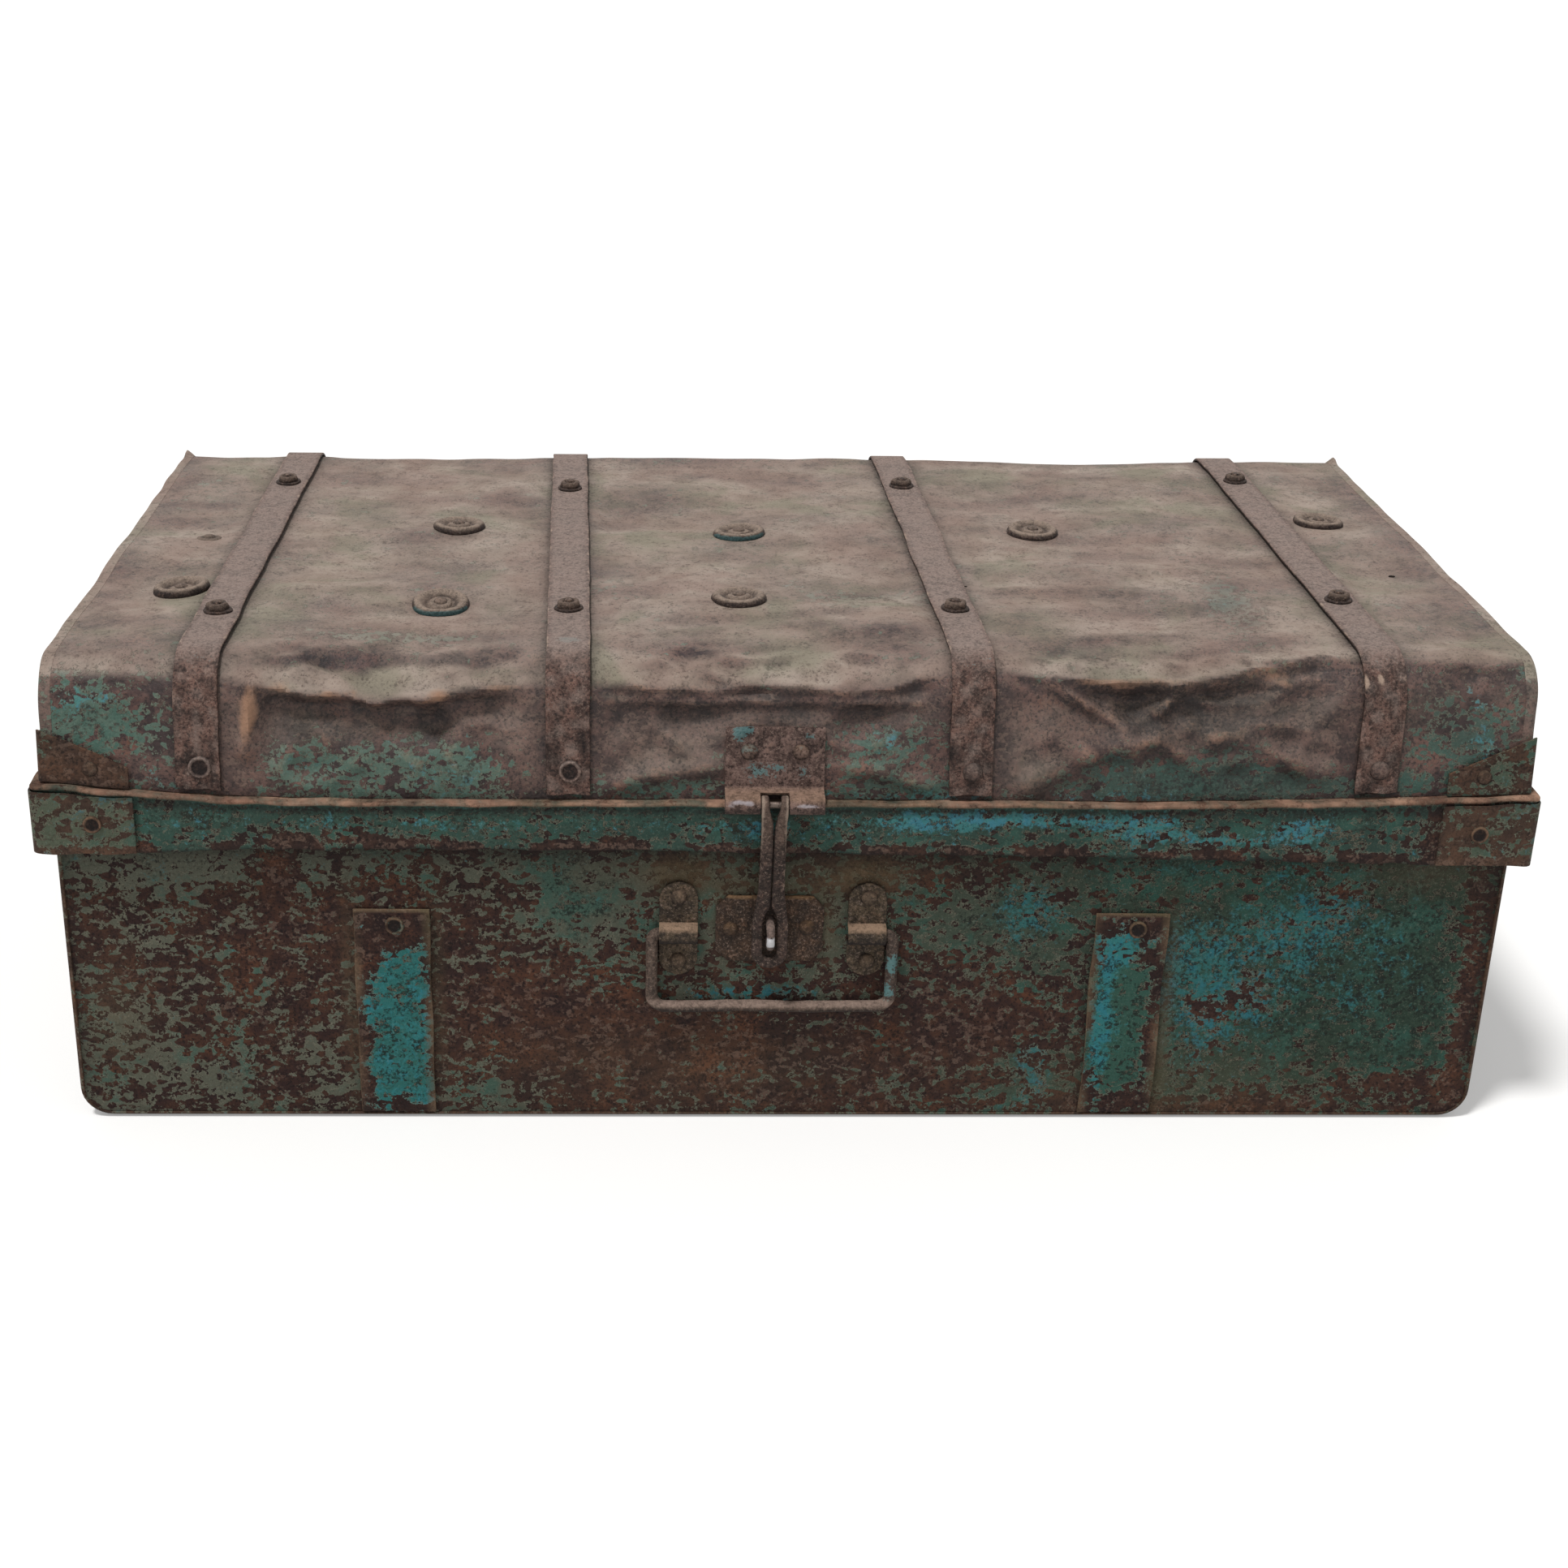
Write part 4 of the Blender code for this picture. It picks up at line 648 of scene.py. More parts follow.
batten_coat = old_paint("batten_paint", shade(40, 28, 27), shade(62, 42, 36), shade(44, 104, 102),
                        shade(50, 76, 64), shade(48, 116, 118), shade(46, 120, 132),
                        shade(126, 104, 84), shade(96, 80, 62))
out = TUB_DEEP + SEAT
rise = np.linspace(BATTEN_TOP, 8.0, 60)
corner = np.linspace(0, math.pi / 2, 6)[1:]
down = [(-out, z) for z in rise] + [(-out + 6 * (1 - math.cos(a)), 8 - 6 * math.sin(a))
                                    for a in corner]
down = [(y, max(z, 2.0) - 0.4) for y, z in down]
under = [(y, 1.6) for y in np.linspace(-out + 9, out - 9, 24)]
side_path = np.array(down + under + [(-y, z) for y, z in down[::-1]])
outward = side_outward(side_path)
loop = strip_loop(BATTEN_WIDE, BATTEN_THICK, 0.5)
length = np.concatenate([[0], np.cumsum(np.linalg.norm(np.diff(side_path, axis=0), axis=1))])
for number, (word, middle, lean, bare, slant, aside) in enumerate(BATTENS):
    wander = 0.4 * ripple(length, 0 * length, 60.0, 20 + number)
    x = middle + loop[None, :, 0] + wander[:, None]
    lift = np.clip(loop[None, :, 1], 0, None)
    y = side_path[:, :1] + outward[:, :1] * lift
    z = np.maximum(side_path[:, 1:] + outward[:, 1:] * lift, 0.0)
    loops = np.stack([x, y, z + 0 * x], -1)
    in_x, high = loops[..., 0] - middle, loops[..., 2]
    edge = ramp(np.abs(in_x), 16, 3.5)
    ragged = 2.4 * ripple(in_x, high, 22.0, 31 + number)
    held = np.clip((15.0 - np.abs(in_x - lean) + ragged) / 4.0, -1, 1)
    foot = np.clip((high - bare + ragged) / 6, -1, 1)
    crown = np.clip((98 - high + 0.6 * in_x * slant + 2 * ragged) / 8, -1, 1)
    paint = np.minimum(np.minimum(held, foot), crown) * 0.9 + 0.1
    blue = 0.55
    if number:
        blue = 0.2 + clouds(in_x, high, (
            (-12, 50, 5, 40, 1.0), (-4, 104, 14, 14, 1.2), (-9, 70, 5, 20, 0.7),
            (0, 20, 12, 10, -0.3), (4, 80, 12, 20, -0.6)))
        paint = np.maximum(paint, clouds(in_x, high, ((-6, 106, 12, 9, 1.6),)) - 0.5)
    table = marks(in_x, paint=paint, bright=blue,
                  dust=0.95 * ramp(high, 122.2, 0.8) + 0.7 * ramp(np.abs(in_x), 18.6, 0.6),
                  grime=0.75 * bell(np.abs(in_x), 17.4, 1.1))
    rivets = [head((middle + aside, sign * (out + BATTEN_THICK), BATTEN_TOP - 9), (0, sign, 0),
                   5.0, 1.4, seed=number, profile=HEAD_RING) for sign in (-1, 1)]
    put("batten_%s_strip" % word, [tube(loops, table), *rivets], batten_coat, "base",
        ["batten_" + word])

# The lid: one sheet bent up the front, over the top and down the back. It has been leaned and
# knelt on: the front is pushed in between the straps under a sharp crease, the top lies in
# shallow waves under brown dust, and the whole lid is a little higher at its right end.

LID_HALF = 375.3
LEAN = math.radians(6.5)
LID_FOOT, LID_CREST = 193.7, 258.2
WALL_RUN, LID_BEND = 43.5, 24.0
BEND_Y, BEND_Z = -180.03, 234.2
BEND_RUN = LID_BEND * (math.pi / 2 - LEAN)
LID_RUN = 2 * (WALL_RUN + BEND_RUN - BEND_Y)
STRAP_FRONT = np.array([-298.7, -115.6, 87.1, 295.7])
STRAP_BACK = np.array([-298.0, -129.1, 77.3, 292.7])
STRAP_WIDE = 22.0
HASP_X = -12.28
LID_TILT = 4.3


def from_foot(t):
    """The distance along the lid's profile from the nearer of its two feet."""
    return np.minimum(t, LID_RUN - t)


def lid_profile(t):
    """The lid's side view by the distance from its front foot: a leaning wall, a round bend and
    a flat top, then the same mirrored. Gives y, z and the outward direction."""
    near = from_foot(t)
    angle = math.pi - LEAN - np.clip((near - WALL_RUN) / LID_BEND, 0, math.pi / 2 - LEAN)
    short = np.maximum(WALL_RUN - near, 0.0)
    y = (BEND_Y + LID_BEND * np.cos(angle) - short * math.sin(LEAN)
         + np.maximum(near - WALL_RUN - BEND_RUN, 0.0))
    z = BEND_Z + LID_BEND * np.sin(angle) - short * math.cos(LEAN)
    mirror = np.where(t > LID_RUN / 2, -1.0, 1.0)
    return y * mirror, z, np.cos(angle) * mirror, np.sin(angle)


def strap_middle(index, y):
    """Where a strap's middle line runs: a little askew from front to back."""
    return STRAP_FRONT[index] + (STRAP_BACK[index] - STRAP_FRONT[index]) * (y / 417.6 + 0.5)


def clear_of_straps(x, y):
    """Nought on the straps' lines and one well away from them."""
    free = np.ones_like(x * y)
    for index in range(4):
        gap = ramp(np.abs(x - strap_middle(index, y)), 12.0, 14.0)
        free = free * gap * gap * (3 - 2 * gap)
    return free


def folds(u, v, lines):
    """Sum of soft ridges along straight lines: (u0, v0, u1, v1, width, height)."""
    total = np.zeros_like(u * v)
    for u0, v0, u1, v1, width, height in lines:
        long_u, long_v = u1 - u0, v1 - v0
        share = np.clip(((u - u0) * long_u + (v - v0) * long_v) / (long_u ** 2 + long_v ** 2), 0, 1)
        gap = np.hypot(u - u0 - share * long_u, v - v0 - share * long_v)
        total += height * np.exp(-(gap / width) ** 2)
    return total


CREASE_X = (-375, -335, -300, -276, -262, -240, -215, -190, -160, -130, -95, -60, -20, 20, 55,
            75, 110, 130, 160, 190, 212, 232, 258, 300, 340, 375)
CREASE_T = (58, 58, 56, 55, 50, 50, 46, 46, 52, 54, 54, 52, 54, 52, 55,
            59, 62, 57, 56, 54, 57, 63, 69, 68, 66, 67)
DENT_X = (-375, -330, -312, -282, -268, -256, -205, -160, -134, -100, -92, -80, -50, -20, 25, 50,
          68, 78, 102, 114, 135, 190, 230, 262, 276, 284, 310, 340, 375)
DENT_DEEP = (0.6, 0.8, 0.0, 0.4, 1.5, 7.5, 8.0, 6.0, 0.4, 0.4, 2.5, 5.0, 5.2, 4.4, 5.2, 5.0,
             2.5, 0.4, 0.4, 3.0, 6.5, 8.2, 6.5, 5.0, 2.0, 0.3, 0.3, 2.0, 1.2)
LID_FOLDS = (
    (-270, 54, -276, 24, 5.5, 3.6), (-252, 60, -225, 54, 5, 1.2), (-190, 47, -168, 54, 3.5, 2.2),
    (-235, 66, -150, 72, 9, -1.6), (-215, 78, -160, 96, 10, -1.2),
    (-98, 47, 60, 46, 3.0, 1.5), (-104, 4, -72, 13, 4.0, 2.2), (-72, 13, -38, 15, 4.0, 2.0),
    (14, 16, 42, 14, 4.0, 2.0), (42, 14, 78, 4, 4.0, 2.2),
    (126, 56, 146, 44, 3.2, 2.4), (146, 44, 166, 34, 3.2, 2.2), (192, 54, 182, 42, 3.0, 2.4),
    (182, 42, 170, 36, 3.0, 1.8), (116, 8, 146, 22, 5, 2.0), (146, 22, 196, 34, 5, 2.2),
    (200, 36, 268, 14, 5, 2.2), (226, 58, 246, 57, 4, 1.6), (228, 66, 262, 64, 3, -1.4),
    (-82, 148, -20, 152, 7, 0.8), (-60, 118, 30, 130, 8, -0.9), (20, 104, 70, 112, 8, 0.9),
    (-262, 130, -180, 138, 10, -0.9), (-262, 170, -150, 176, 12, 0.9),
    (110, 176, 200, 168, 10, 1.0), (140, 128, 230, 136, 10, -0.9), (150, 100, 190, 104, 6, 0.9),
    (306, 90, 352, 100, 10, -1.2), (310, 150, 360, 160, 12, 0.8),
    (100, 236, 268, 226, 12, -0.8), (-250, 250, -150, 258, 14, -0.9),
)


def lid_push(x, t):
    """How far the sheet stands out from its first shape: dents, creases, folds and waves.

    Along the front, a crease at a height that wanders with x; just under it the sheet is pushed
    in by the bay's depth, a little above it less, and the crease itself stands up sharp.
    """
    y = lid_profile(t)[0]
    free = clear_of_straps(x, y)
    above = t - eased(x, CREASE_X, CREASE_T, 7.0) - 1.2 * ripple(x, 0 * t, 34.0, 40)
    deep = eased(x, DENT_X, DENT_DEEP, 4.0) * (1 + 0.14 * ripple(x, t, 45.0, 41))
    behind_plate = np.exp(-((x - HASP_X) / 29.0) ** 6 - (t / 37.0) ** 8)
    under = np.clip(-above / 7.5, 0, 1)
    back_out = ramp(-above, 11.0, 21.0)
    hollow = -deep * under * (2 - under) * (1 - back_out * back_out * (3 - 2 * back_out))
    slope = -0.40 * deep * bell(above, 15.0, 14.0) * (above > 0)
    slope = slope - 0.40 * deep * math.exp(-(15.0 / 14.0) ** 2) * (above <= 0) * (1 - under)
    ridge = 0.24 * deep * np.exp(-np.abs(above) / 2.4)
    front = (hollow + slope + ridge) * np.where(t < LID_RUN / 2, 1.0, 0.0)
    inland = np.clip(from_foot(t) / 30.0, 0, 1)
    wave = 1.6 * ripple(x * 0.6, t, 100.0, 42) + 0.22 * ripple(x * 0.8, t, 33.0, 43)
    sharp = 0.55 - np.abs(ripple(x, t * 1.3, 46.0, 45))
    crumple = ((0.45 * ripple(x, t, 17.0, 44) + 2.1 * sharp) * np.clip(deep / 6.0, 0, 1)
               * ramp(88.0, t, 22.0) * np.clip(t / 14.0, 0, 1))
    total = ((front + 1.55 * folds(x, t, LID_FOLDS) + crumple) * free
             + wave * inland * (0.15 + 0.85 * free))
    ends = ramp(LID_HALF, np.abs(x), 26.0)
    return total * (1 - behind_plate) * (0.25 + 0.75 * ends)


def lid_sunk(x, y):
    """How far the foot of the lid has sunk with the ledge, most at the front."""
    return front_sag(x) * np.clip(-y / 190.0, 0, 1) ** 2


def lid_point(x, t, out=0.0):
    """A place on the lid: across, along the profile from the front foot, and out from the sheet.

    The profile's point, moved outwards by the dents and by out, then raised by a tilt in step
    with x and the height, and lowered by the ledge's sag, most at the foot.
    """
    x, t, out = np.broadcast_arrays(np.asarray(x, float), np.asarray(t, float),
                                    np.asarray(out, float))
    y, z, out_y, out_z = lid_profile(t)
    stand = out + lid_push(x, t)
    rise = np.clip((z - LID_FOOT) / (LID_CREST - LID_FOOT), 0, 1)
    y_new = y + out_y * stand
    tilt = LID_TILT * x / LID_HALF * rise
    sunk = lid_sunk(x, y_new) * (1 - rise) ** 1.15
    return np.stack([x, y_new, z + out_z * stand + tilt - sunk], -1)


lid_coat = old_paint("lid_paint", shade(46, 33, 34), shade(104, 77, 70), shade(78, 100, 88),
                     shade(52, 72, 64), shade(66, 126, 124), shade(62, 124, 140),
                     shade(168, 153, 141), shade(145, 128, 115), chip=2.5, cover=0.55,
                     specular=0.30, gloss=0.50)


def lid_marks(x, t):
    """What the lid's finish reads: dust over the top, painted shade beside the straps and in the
    hollows by the crease, patches of green on the front's lower part, and painted highlights on
    the crease and the folds. The dents' slopes and bumps also lay painted light and shade."""
    y = lid_profile(t)[0]
    crease = eased(x, CREASE_X, CREASE_T, 7.0)
    top = ramp(from_foot(t) - crease, -1.5, 6.0)
    slope = (lid_push(x, t + 1.5) - lid_push(x, t - 1.5)) / 3.0
    spread = 0.25 * (lid_push(x + 5, t) + lid_push(x - 5, t) + lid_push(x, t + 5)
                     + lid_push(x, t - 5))
    bump = np.clip(lid_push(x, t) - spread, -1.5, 1.5)
    # beside: how near a place is to a strap's side, where painted shade is laid.
    beside = np.zeros_like(x * t)
    for index in range(4):
        gap = np.abs(x - strap_middle(index, y)) - STRAP_WIDE / 2
        beside = np.maximum(beside, np.exp(-np.clip(gap, 0, None) / 3.4))
    paint = clouds(x, t, (
        (-345, 34, 34, 18, 1.5), (-222, 18, 56, 13, 1.15), (-160, 16, 24, 13, 1.15),
        (-200, 2, 120, 4, 0.6), (-60, 6, 50, 6, 0.9), (-60, 40, 40, 8, -0.4),
        (45, 26, 30, 16, 0.8), (60, 4, 50, 5, 1.0), (205, 8, 62, 12, 1.7), (155, 22, 20, 9, 0.5),
        (338, 30, 30, 24, 1.1), (300, 6, 80, 6, 0.8), (-215, 40, 60, 12, -0.8),
        (190, 44, 60, 12, -1.0), (0, 44, 90, 9, -0.7), (-140, 30, 14, 30, -0.6),
        (-285, 30, 16, 30, -0.9), (-80, 24, 40, 14, -0.5), (112, 26, 14, 26, -0.6),
        (268, 34, 16, 22, -0.9), (45, 158, 34, 15, 1.6), (238, 150, 15, 60, 1.2),
        (-212, 98, 40, 9, 1.2)))
    bright = clouds(x, t, (
        (-362, 44, 9, 7, 0.9), (-345, 46, 7, 4, 0.8), (-318, 6, 8, 6, 1.0), (-165, 30, 4, 7, 0.8),
        (-240, 16, 30, 6, 0.25), (-170, 14, 26, 8, 0.4), (60, 1, 40, 3, 0.7),
        (150, 2, 60, 3, 0.6), (347, 50, 9, 8, 1.4), (352, 24, 10, 6, 0.6), (45, 30, 6, 5, 0.7),
        (163, 20, 12, 9, 0.35), (160, 50, 5, 6, 0.5), (-87, 47, 12, 3, 0.7),
        (20, 180, 26, 12, 0.25), (50, 150, 22, 10, 0.2)))
    dust = top * (0.77 + 0.15 * ripple(x, t, 95.0, 50) + 0.10 * ripple(x, t, 36.0, 51))
    dust = dust - 0.36 * top * clouds(x, t, (
        (-235, 72, 46, 12, 1.0), (-60, 118, 60, 8, 0.6), (40, 110, 50, 9, 0.8),
        (180, 96, 60, 10, 0.5), (-190, 190, 60, 16, 0.5), (120, 170, 60, 14, 0.4),
        (220, 220, 60, 20, 0.4), (-330, 110, 30, 20, 0.5), (0, LID_RUN - 74, 500, 13, 0.7),
        (367, LID_RUN / 2, 17, 300, 1.0), (-367, LID_RUN / 2, 14, 300, 0.8),
        (45, 158, 34, 15, 0.9), (238, 150, 15, 60, 0.7), (-212, 98, 40, 9, 0.7),
        (330, 150, 24, 40, 0.35), (-120, 330, 70, 26, 0.4), (190, 340, 60, 30, 0.4)))
    # Pale patches on the front where the light falls on it: painted light.
    front_dust = clouds(x, t, (
        (-280, 30, 24, 26, 1.0), (-140, 30, 14, 30, 0.6), (-70, 22, 30, 14, 0.9),
        (110, 26, 12, 30, 0.8), (120, 10, 14, 8, 1.0), (240, 60, 26, 8, 0.6),
        (262, 30, 10, 24, 0.5), (330, 40, 40, 20, 0.9)))
    dust = dust + (1 - top) * (0.04 + 0.15 * front_dust)
    grime = (0.85 * top + 0.45 * (1 - top)) * beside
    # Painted shade in the hollows by the crease; darker also along both feet.
    grime = grime + clouds(x, t, (
        (0, 0, 800, 2.5, 0.5), (-215, 37, 60, 11, 0.55), (205, 30, 62, 22, 0.20),
        (-10, 40, 90, 9, 0.6), (190, 42, 66, 14, 0.55), (205, 8, 66, 13, 0.42),
        (-215, 20, 50, 12, 0.12), (-240, 74, 30, 8, 0.35), (0, LID_RUN, 800, 3, 0.5)))
    # Painted highlights on the crease and the folds.
    wear = clouds(x, t, (
        (-274, 42, 6, 12, 0.68), (-258, 54, 6, 5, 0.6), (-234, 50, 5, 2, 0.6),
        (-222, 51, 3, 2.4, 0.6), (-180, 50, 6, 4, 0.7), (-150, 54, 20, 2, 0.35),
        (180, 57, 20, 2, 0.4), (242, 61, 12, 5, 0.55), (60, 60, 30, 2, 0.3),
        (-60, 54, 30, 2, 0.3), (-100, 56, 8, 2, 0.4), (150, 57, 14, 2, 0.4)))
    green = np.clip(paint, 0, 1) * (1 - top)
    # Painted light and shade from the dents: slopes facing down or to the front darker, those
    # facing up or back lighter, hollows darker and ridges lighter.
    dust = dust - top * np.clip(1.6 * slope, -0.2, 0.4) + (1 - top) * np.clip(-0.6 * slope, 0, 0.16)
    dust = dust * (1 - 0.85 * green)
    grime = grime + np.clip(0.9 * slope - 0.05, 0, 0.45) * (1 - 0.4 * top) - 0.25 * bump
    wear = 0.72 * wear + np.clip(0.35 * bump, 0, 0.3) * (1 - top)
    return {"paint": paint - 0.3 - 0.1 * top, "bright": bright, "dust": np.clip(dust, 0, 0.97),
            "grime": np.clip(grime, 0, 0.9), "wear": wear}


def stations(*runs):
    """Places along a line, in runs of (from, to, how many) that each start where the last ends."""
    return np.concatenate([np.linspace(*run)[min(number, 1):] for number, run in enumerate(runs)])


lid_t = stations((0, 96, 56), (96, LID_RUN - 90, 66), (LID_RUN - 90, LID_RUN, 24))
lid_x = np.linspace(-LID_HALF + FLANGE, LID_HALF - FLANGE, 246)
grid_t, grid_x = np.meshgrid(lid_t, lid_x, indexing="ij")
skin = lid_point(grid_x, grid_t).reshape(-1, 3)
outer = marks(grid_x, **lid_marks(grid_x, grid_t))
inner = marks(grid_x, paint=-0.3 + 0.2 * ripple(grid_x, grid_t, 130.0, 52), dust=0.15)
put("lid_sheet", [thicken(skin, grid_quads(*grid_t.shape)[:, ::-1], outer, SHEET, inner)],
    lid_coat, "lid", ["lid_wrap"])

# The lid's ends: a pan at each side whose edge is folded over the long sheet and beaten down. At
# the back corners the fold has sprung up into a small ear.


def lid_end(side):
    """Rows follow the profile from the front foot to the back foot; columns run from the flange
    on the sheet, round the fold, and then straight towards the middle of the foot line."""
    t = stations((0, 96, 50), (96, LID_RUN - 90, 60), (LID_RUN - 90, LID_RUN, 28))
    over = 0.15
    angle = np.linspace(0, math.pi / 2, 5)
    reach = np.concatenate([[LID_HALF - FLANGE - 0.1, LID_HALF - 3.4],
                            LID_HALF - FOLD + FOLD * np.sin(angle)])
    out = np.concatenate([[over, over], over - FOLD + FOLD * np.cos(angle)])
    ear = np.exp(-((t - LID_RUN + WALL_RUN + BEND_RUN * 0.75) / 6.0) ** 2) * 4.5
    nick = 0.25 * ripple(t, 0 * t, 40.0, 60 + side)
    rows = []
    for far, stand in zip(reach, out):
        lifted = stand + ear * np.clip((far - LID_HALF + FLANGE) / FLANGE, 0, 1)
        inward = far + nick * (far > LID_HALF - FLANGE)
        rows.append(lid_point(side * inward, t, lifted))
    edge = rows[-1]
    centre = np.array([side * LID_HALF, 0.0, LID_FOOT])
    for share in np.linspace(1.0, 0.0, 16)[1:] ** 1.1:
        face = centre + (edge - centre) * share
        bulge = np.sin(math.pi * share) * (0.8 + 0.8 * ripple(face[:, 1], face[:, 2], 90.0, 61))
        face[:, 0] = side * (LID_HALF - np.clip(bulge, 0, 2.4))
        rows.append(face)
    points = np.stack(rows, 1)
    foot_line = LID_FOOT - lid_sunk(points[..., 0], points[..., 1])
    points[..., 2] = np.maximum(points[..., 2], foot_line)
    shape = points.shape[:2]
    t_all = np.repeat(t[:, None], shape[1], 1)
    column = np.arange(shape[1])[None, :]
    on_top = column < 5
    high = ramp(points[..., 2], LID_FOOT, 64.0)
    dust = np.where(on_top & (from_foot(t_all) > 58), 0.86, 0.12 + 0.15 * high)
    wear = np.where((column > 3) & (column < 6), 0.16, 0.0)
    paint = 0.25 + 0.35 * ripple(points[..., 1], points[..., 2], 80.0, 62)
    table = marks(t_all, paint=np.where(on_top, -0.2, paint), dust=dust, wear=wear,
                  bright=0.15 * high, grime=0.6 * (1 - np.clip(high * 9, 0, 1)))
    faces = grid_quads(*shape)
    return thicken(points.reshape(-1, 3), faces if side < 0 else faces[:, ::-1], table, SHEET,
                   marks(t_all, paint=-0.3, dust=0.15))


for word, side in (("left", -1), ("right", 1)):
    put("lid_end_%s_pan" % word, [lid_end(side)], lid_coat, "lid",
        ["lid_end_" + word])

# The band under the lid: one folded sheet that makes the upstand inside the lid, the ledge that
# lies on the tub's rim, a rolled lip, and the skirt that hangs over the tub. Tan dust fills the
# ledge; the skirt keeps most of its paint, bluer towards the right.

LEDGE_TOP, SKIRT_FOOT = 193.4, 156.8
BAND_HALF, BAND_DEEP, BAND_ROUND = 380.3, 213.8, 3.5


def ring_line(step=3.0):
    """Once round a rectangle: a place on it as shares of its half sides, and the way out."""
    wide = np.linspace(-1, 1, int(2 * BAND_HALF / step))
    deep = np.linspace(-1, 1, int(2 * BAND_DEEP / step))
    bend = np.linspace(0, math.pi / 2, 6)[1:-1]
    sides = ((wide, -1 + 0 * wide, -math.pi / 2), (1 + 0 * deep, deep, 0.0),
             (wide[::-1], 1 + 0 * wide, math.pi / 2), (-1 + 0 * deep, deep[::-1], math.pi))
    share_x, share_y, angle = [], [], []
    for u, v, way in sides:
        share_x += [u, np.full(len(bend), u[-1])]
        share_y += [v, np.full(len(bend), v[-1])]
        angle += [np.full(len(u), way), way + bend]
    angle = np.concatenate(angle)
    return np.concatenate(share_x), np.concatenate(share_y), np.cos(angle), np.sin(angle)


def skirt_rise(x):
    """How far the skirt's lower edge bows up along the front."""
    return eased(x, (-384, -330, -278, -156, -34, 91, 216, 323, 384),
                 (0.0, 1.0, 3.2, 4.7, 4.3, 3.1, 1.8, 0.2, -0.6), 16.0)


def hang(points):
    """Sink the band's front with the ledge and bow its skirt: the sag and the bow are shared out
    by height and fade towards the back, with a little waviness on top."""
    x, y, z = points[..., 0], points[..., 1], points[..., 2]
    share = np.clip((z - SKIRT_FOOT) / (LEDGE_TOP - SKIRT_FOOT), 0.0, 1.2)
    drop = front_sag(x) * share - skirt_rise(x) * (1 - share)
    wave = 0.35 * ripple(x, y, 34.0, 70) * np.clip(share, 0, 1)
    hem = 0.45 * ripple(x, y, 26.0, 71) * (1 - np.clip(share, 0, 1))
    return np.stack([x, y, z - drop * front_share(y) + wave + hem], -1)


band_steps = np.array([(-6.4, -7.4, 202.4), (-6.4, -6.9, 198.0), (-6.4, -6.4, 194.2),
                       (-5.6, -5.6, 193.4), (-3.0, -3.0, 193.3), (-0.9, -0.9, 193.5),
                       (0.1, 0.1, 193.4), (0.7, 0.7, 192.7), (0.8, 0.8, 191.8), (0.5, 0.5, 191.0),
                       (0.0, 0.0, 190.5), (-0.1, -0.1, 189.6), (0.0, 0.0, 188.0),
                       *((0.0, 0.0, z) for z in np.linspace(185.0, 162.0, 11)),
                       (0.1, 0.1, 160.0), (0.35, 0.35, 158.6), (0.35, 0.35, 157.2),
                       (0.1, 0.1, 156.8)])
share_x, share_y, way_x, way_y = ring_line()
flat_x = BAND_HALF + band_steps[:, :1] - BAND_ROUND
flat_y = BAND_DEEP + band_steps[:, 1:2] - BAND_ROUND
x = share_x * flat_x + BAND_ROUND * way_x
y = share_y * flat_y + BAND_ROUND * way_y
z = band_steps[:, 2:] + 0 * x
skirt = ramp(190.0, z, 6.0)
buckle = 0.6 * ripple(x + y, z, 70.0, 72) * skirt + 0.3 * ripple(x + y, z, 22.0, 73)
x, y = x + way_x * buckle * (z < 199), y + way_y * buckle * (z < 199)
band_grid = hang(np.stack([x, y, z], -1))
band_coat = old_paint("band_paint", shade(36, 27, 27), shade(60, 42, 36), shade(46, 70, 62),
                      shade(38, 62, 56), shade(56, 120, 122), shade(58, 124, 140),
                      shade(170, 134, 112), shade(120, 88, 72), cover=0.50)
paint = (0.42 + 0.25 * ramp(z, 168.0, 10.0)
         - 1.5 * ramp(165.0, z, 5.0) * np.clip(0.5 + ripple(x, z, 40.0, 74), 0, 1))
paint = paint + clouds(x, z, (
    (-250, 166, 20, 5, -1.2), (-205, 163, 26, 5, -1.2), (-110, 160, 30, 5, -1.0),
    (-355, 160, 20, 6, -1.2), (60, 160, 50, 5, -0.8), (345, 176, 30, 30, -1.1),
    (200, 186, 50, 3, -0.5)))
bright = clouds(x, z, (
    (70, 180, 34, 7, 1.1), (110, 183, 40, 5, 1.2), (175, 180, 26, 8, 1.3), (260, 178, 16, 8, 1.1),
    (215, 170, 44, 6, 0.9), (-18, 172, 10, 6, 0.6), (-270, 166, 5, 3, 0.9),
    (-370, 178, 12, 8, 0.35), (-40, 176, 60, 8, 0.45), (-210, 176, 90, 6, 0.55),
    (330, 166, 20, 6, 0.5)))
ledge = (0.2 * ramp(z, 190.2, 0.8) + 0.8 * ramp(z, 190.9, 0.7)) * (z < 198)
dust = np.clip(ledge * (0.72 + 0.16 * ripple(x, y, 28.0, 75) + 0.22 * ripple(x, y, 9.0, 76))
               + 0.03 * skirt, 0, 0.97)
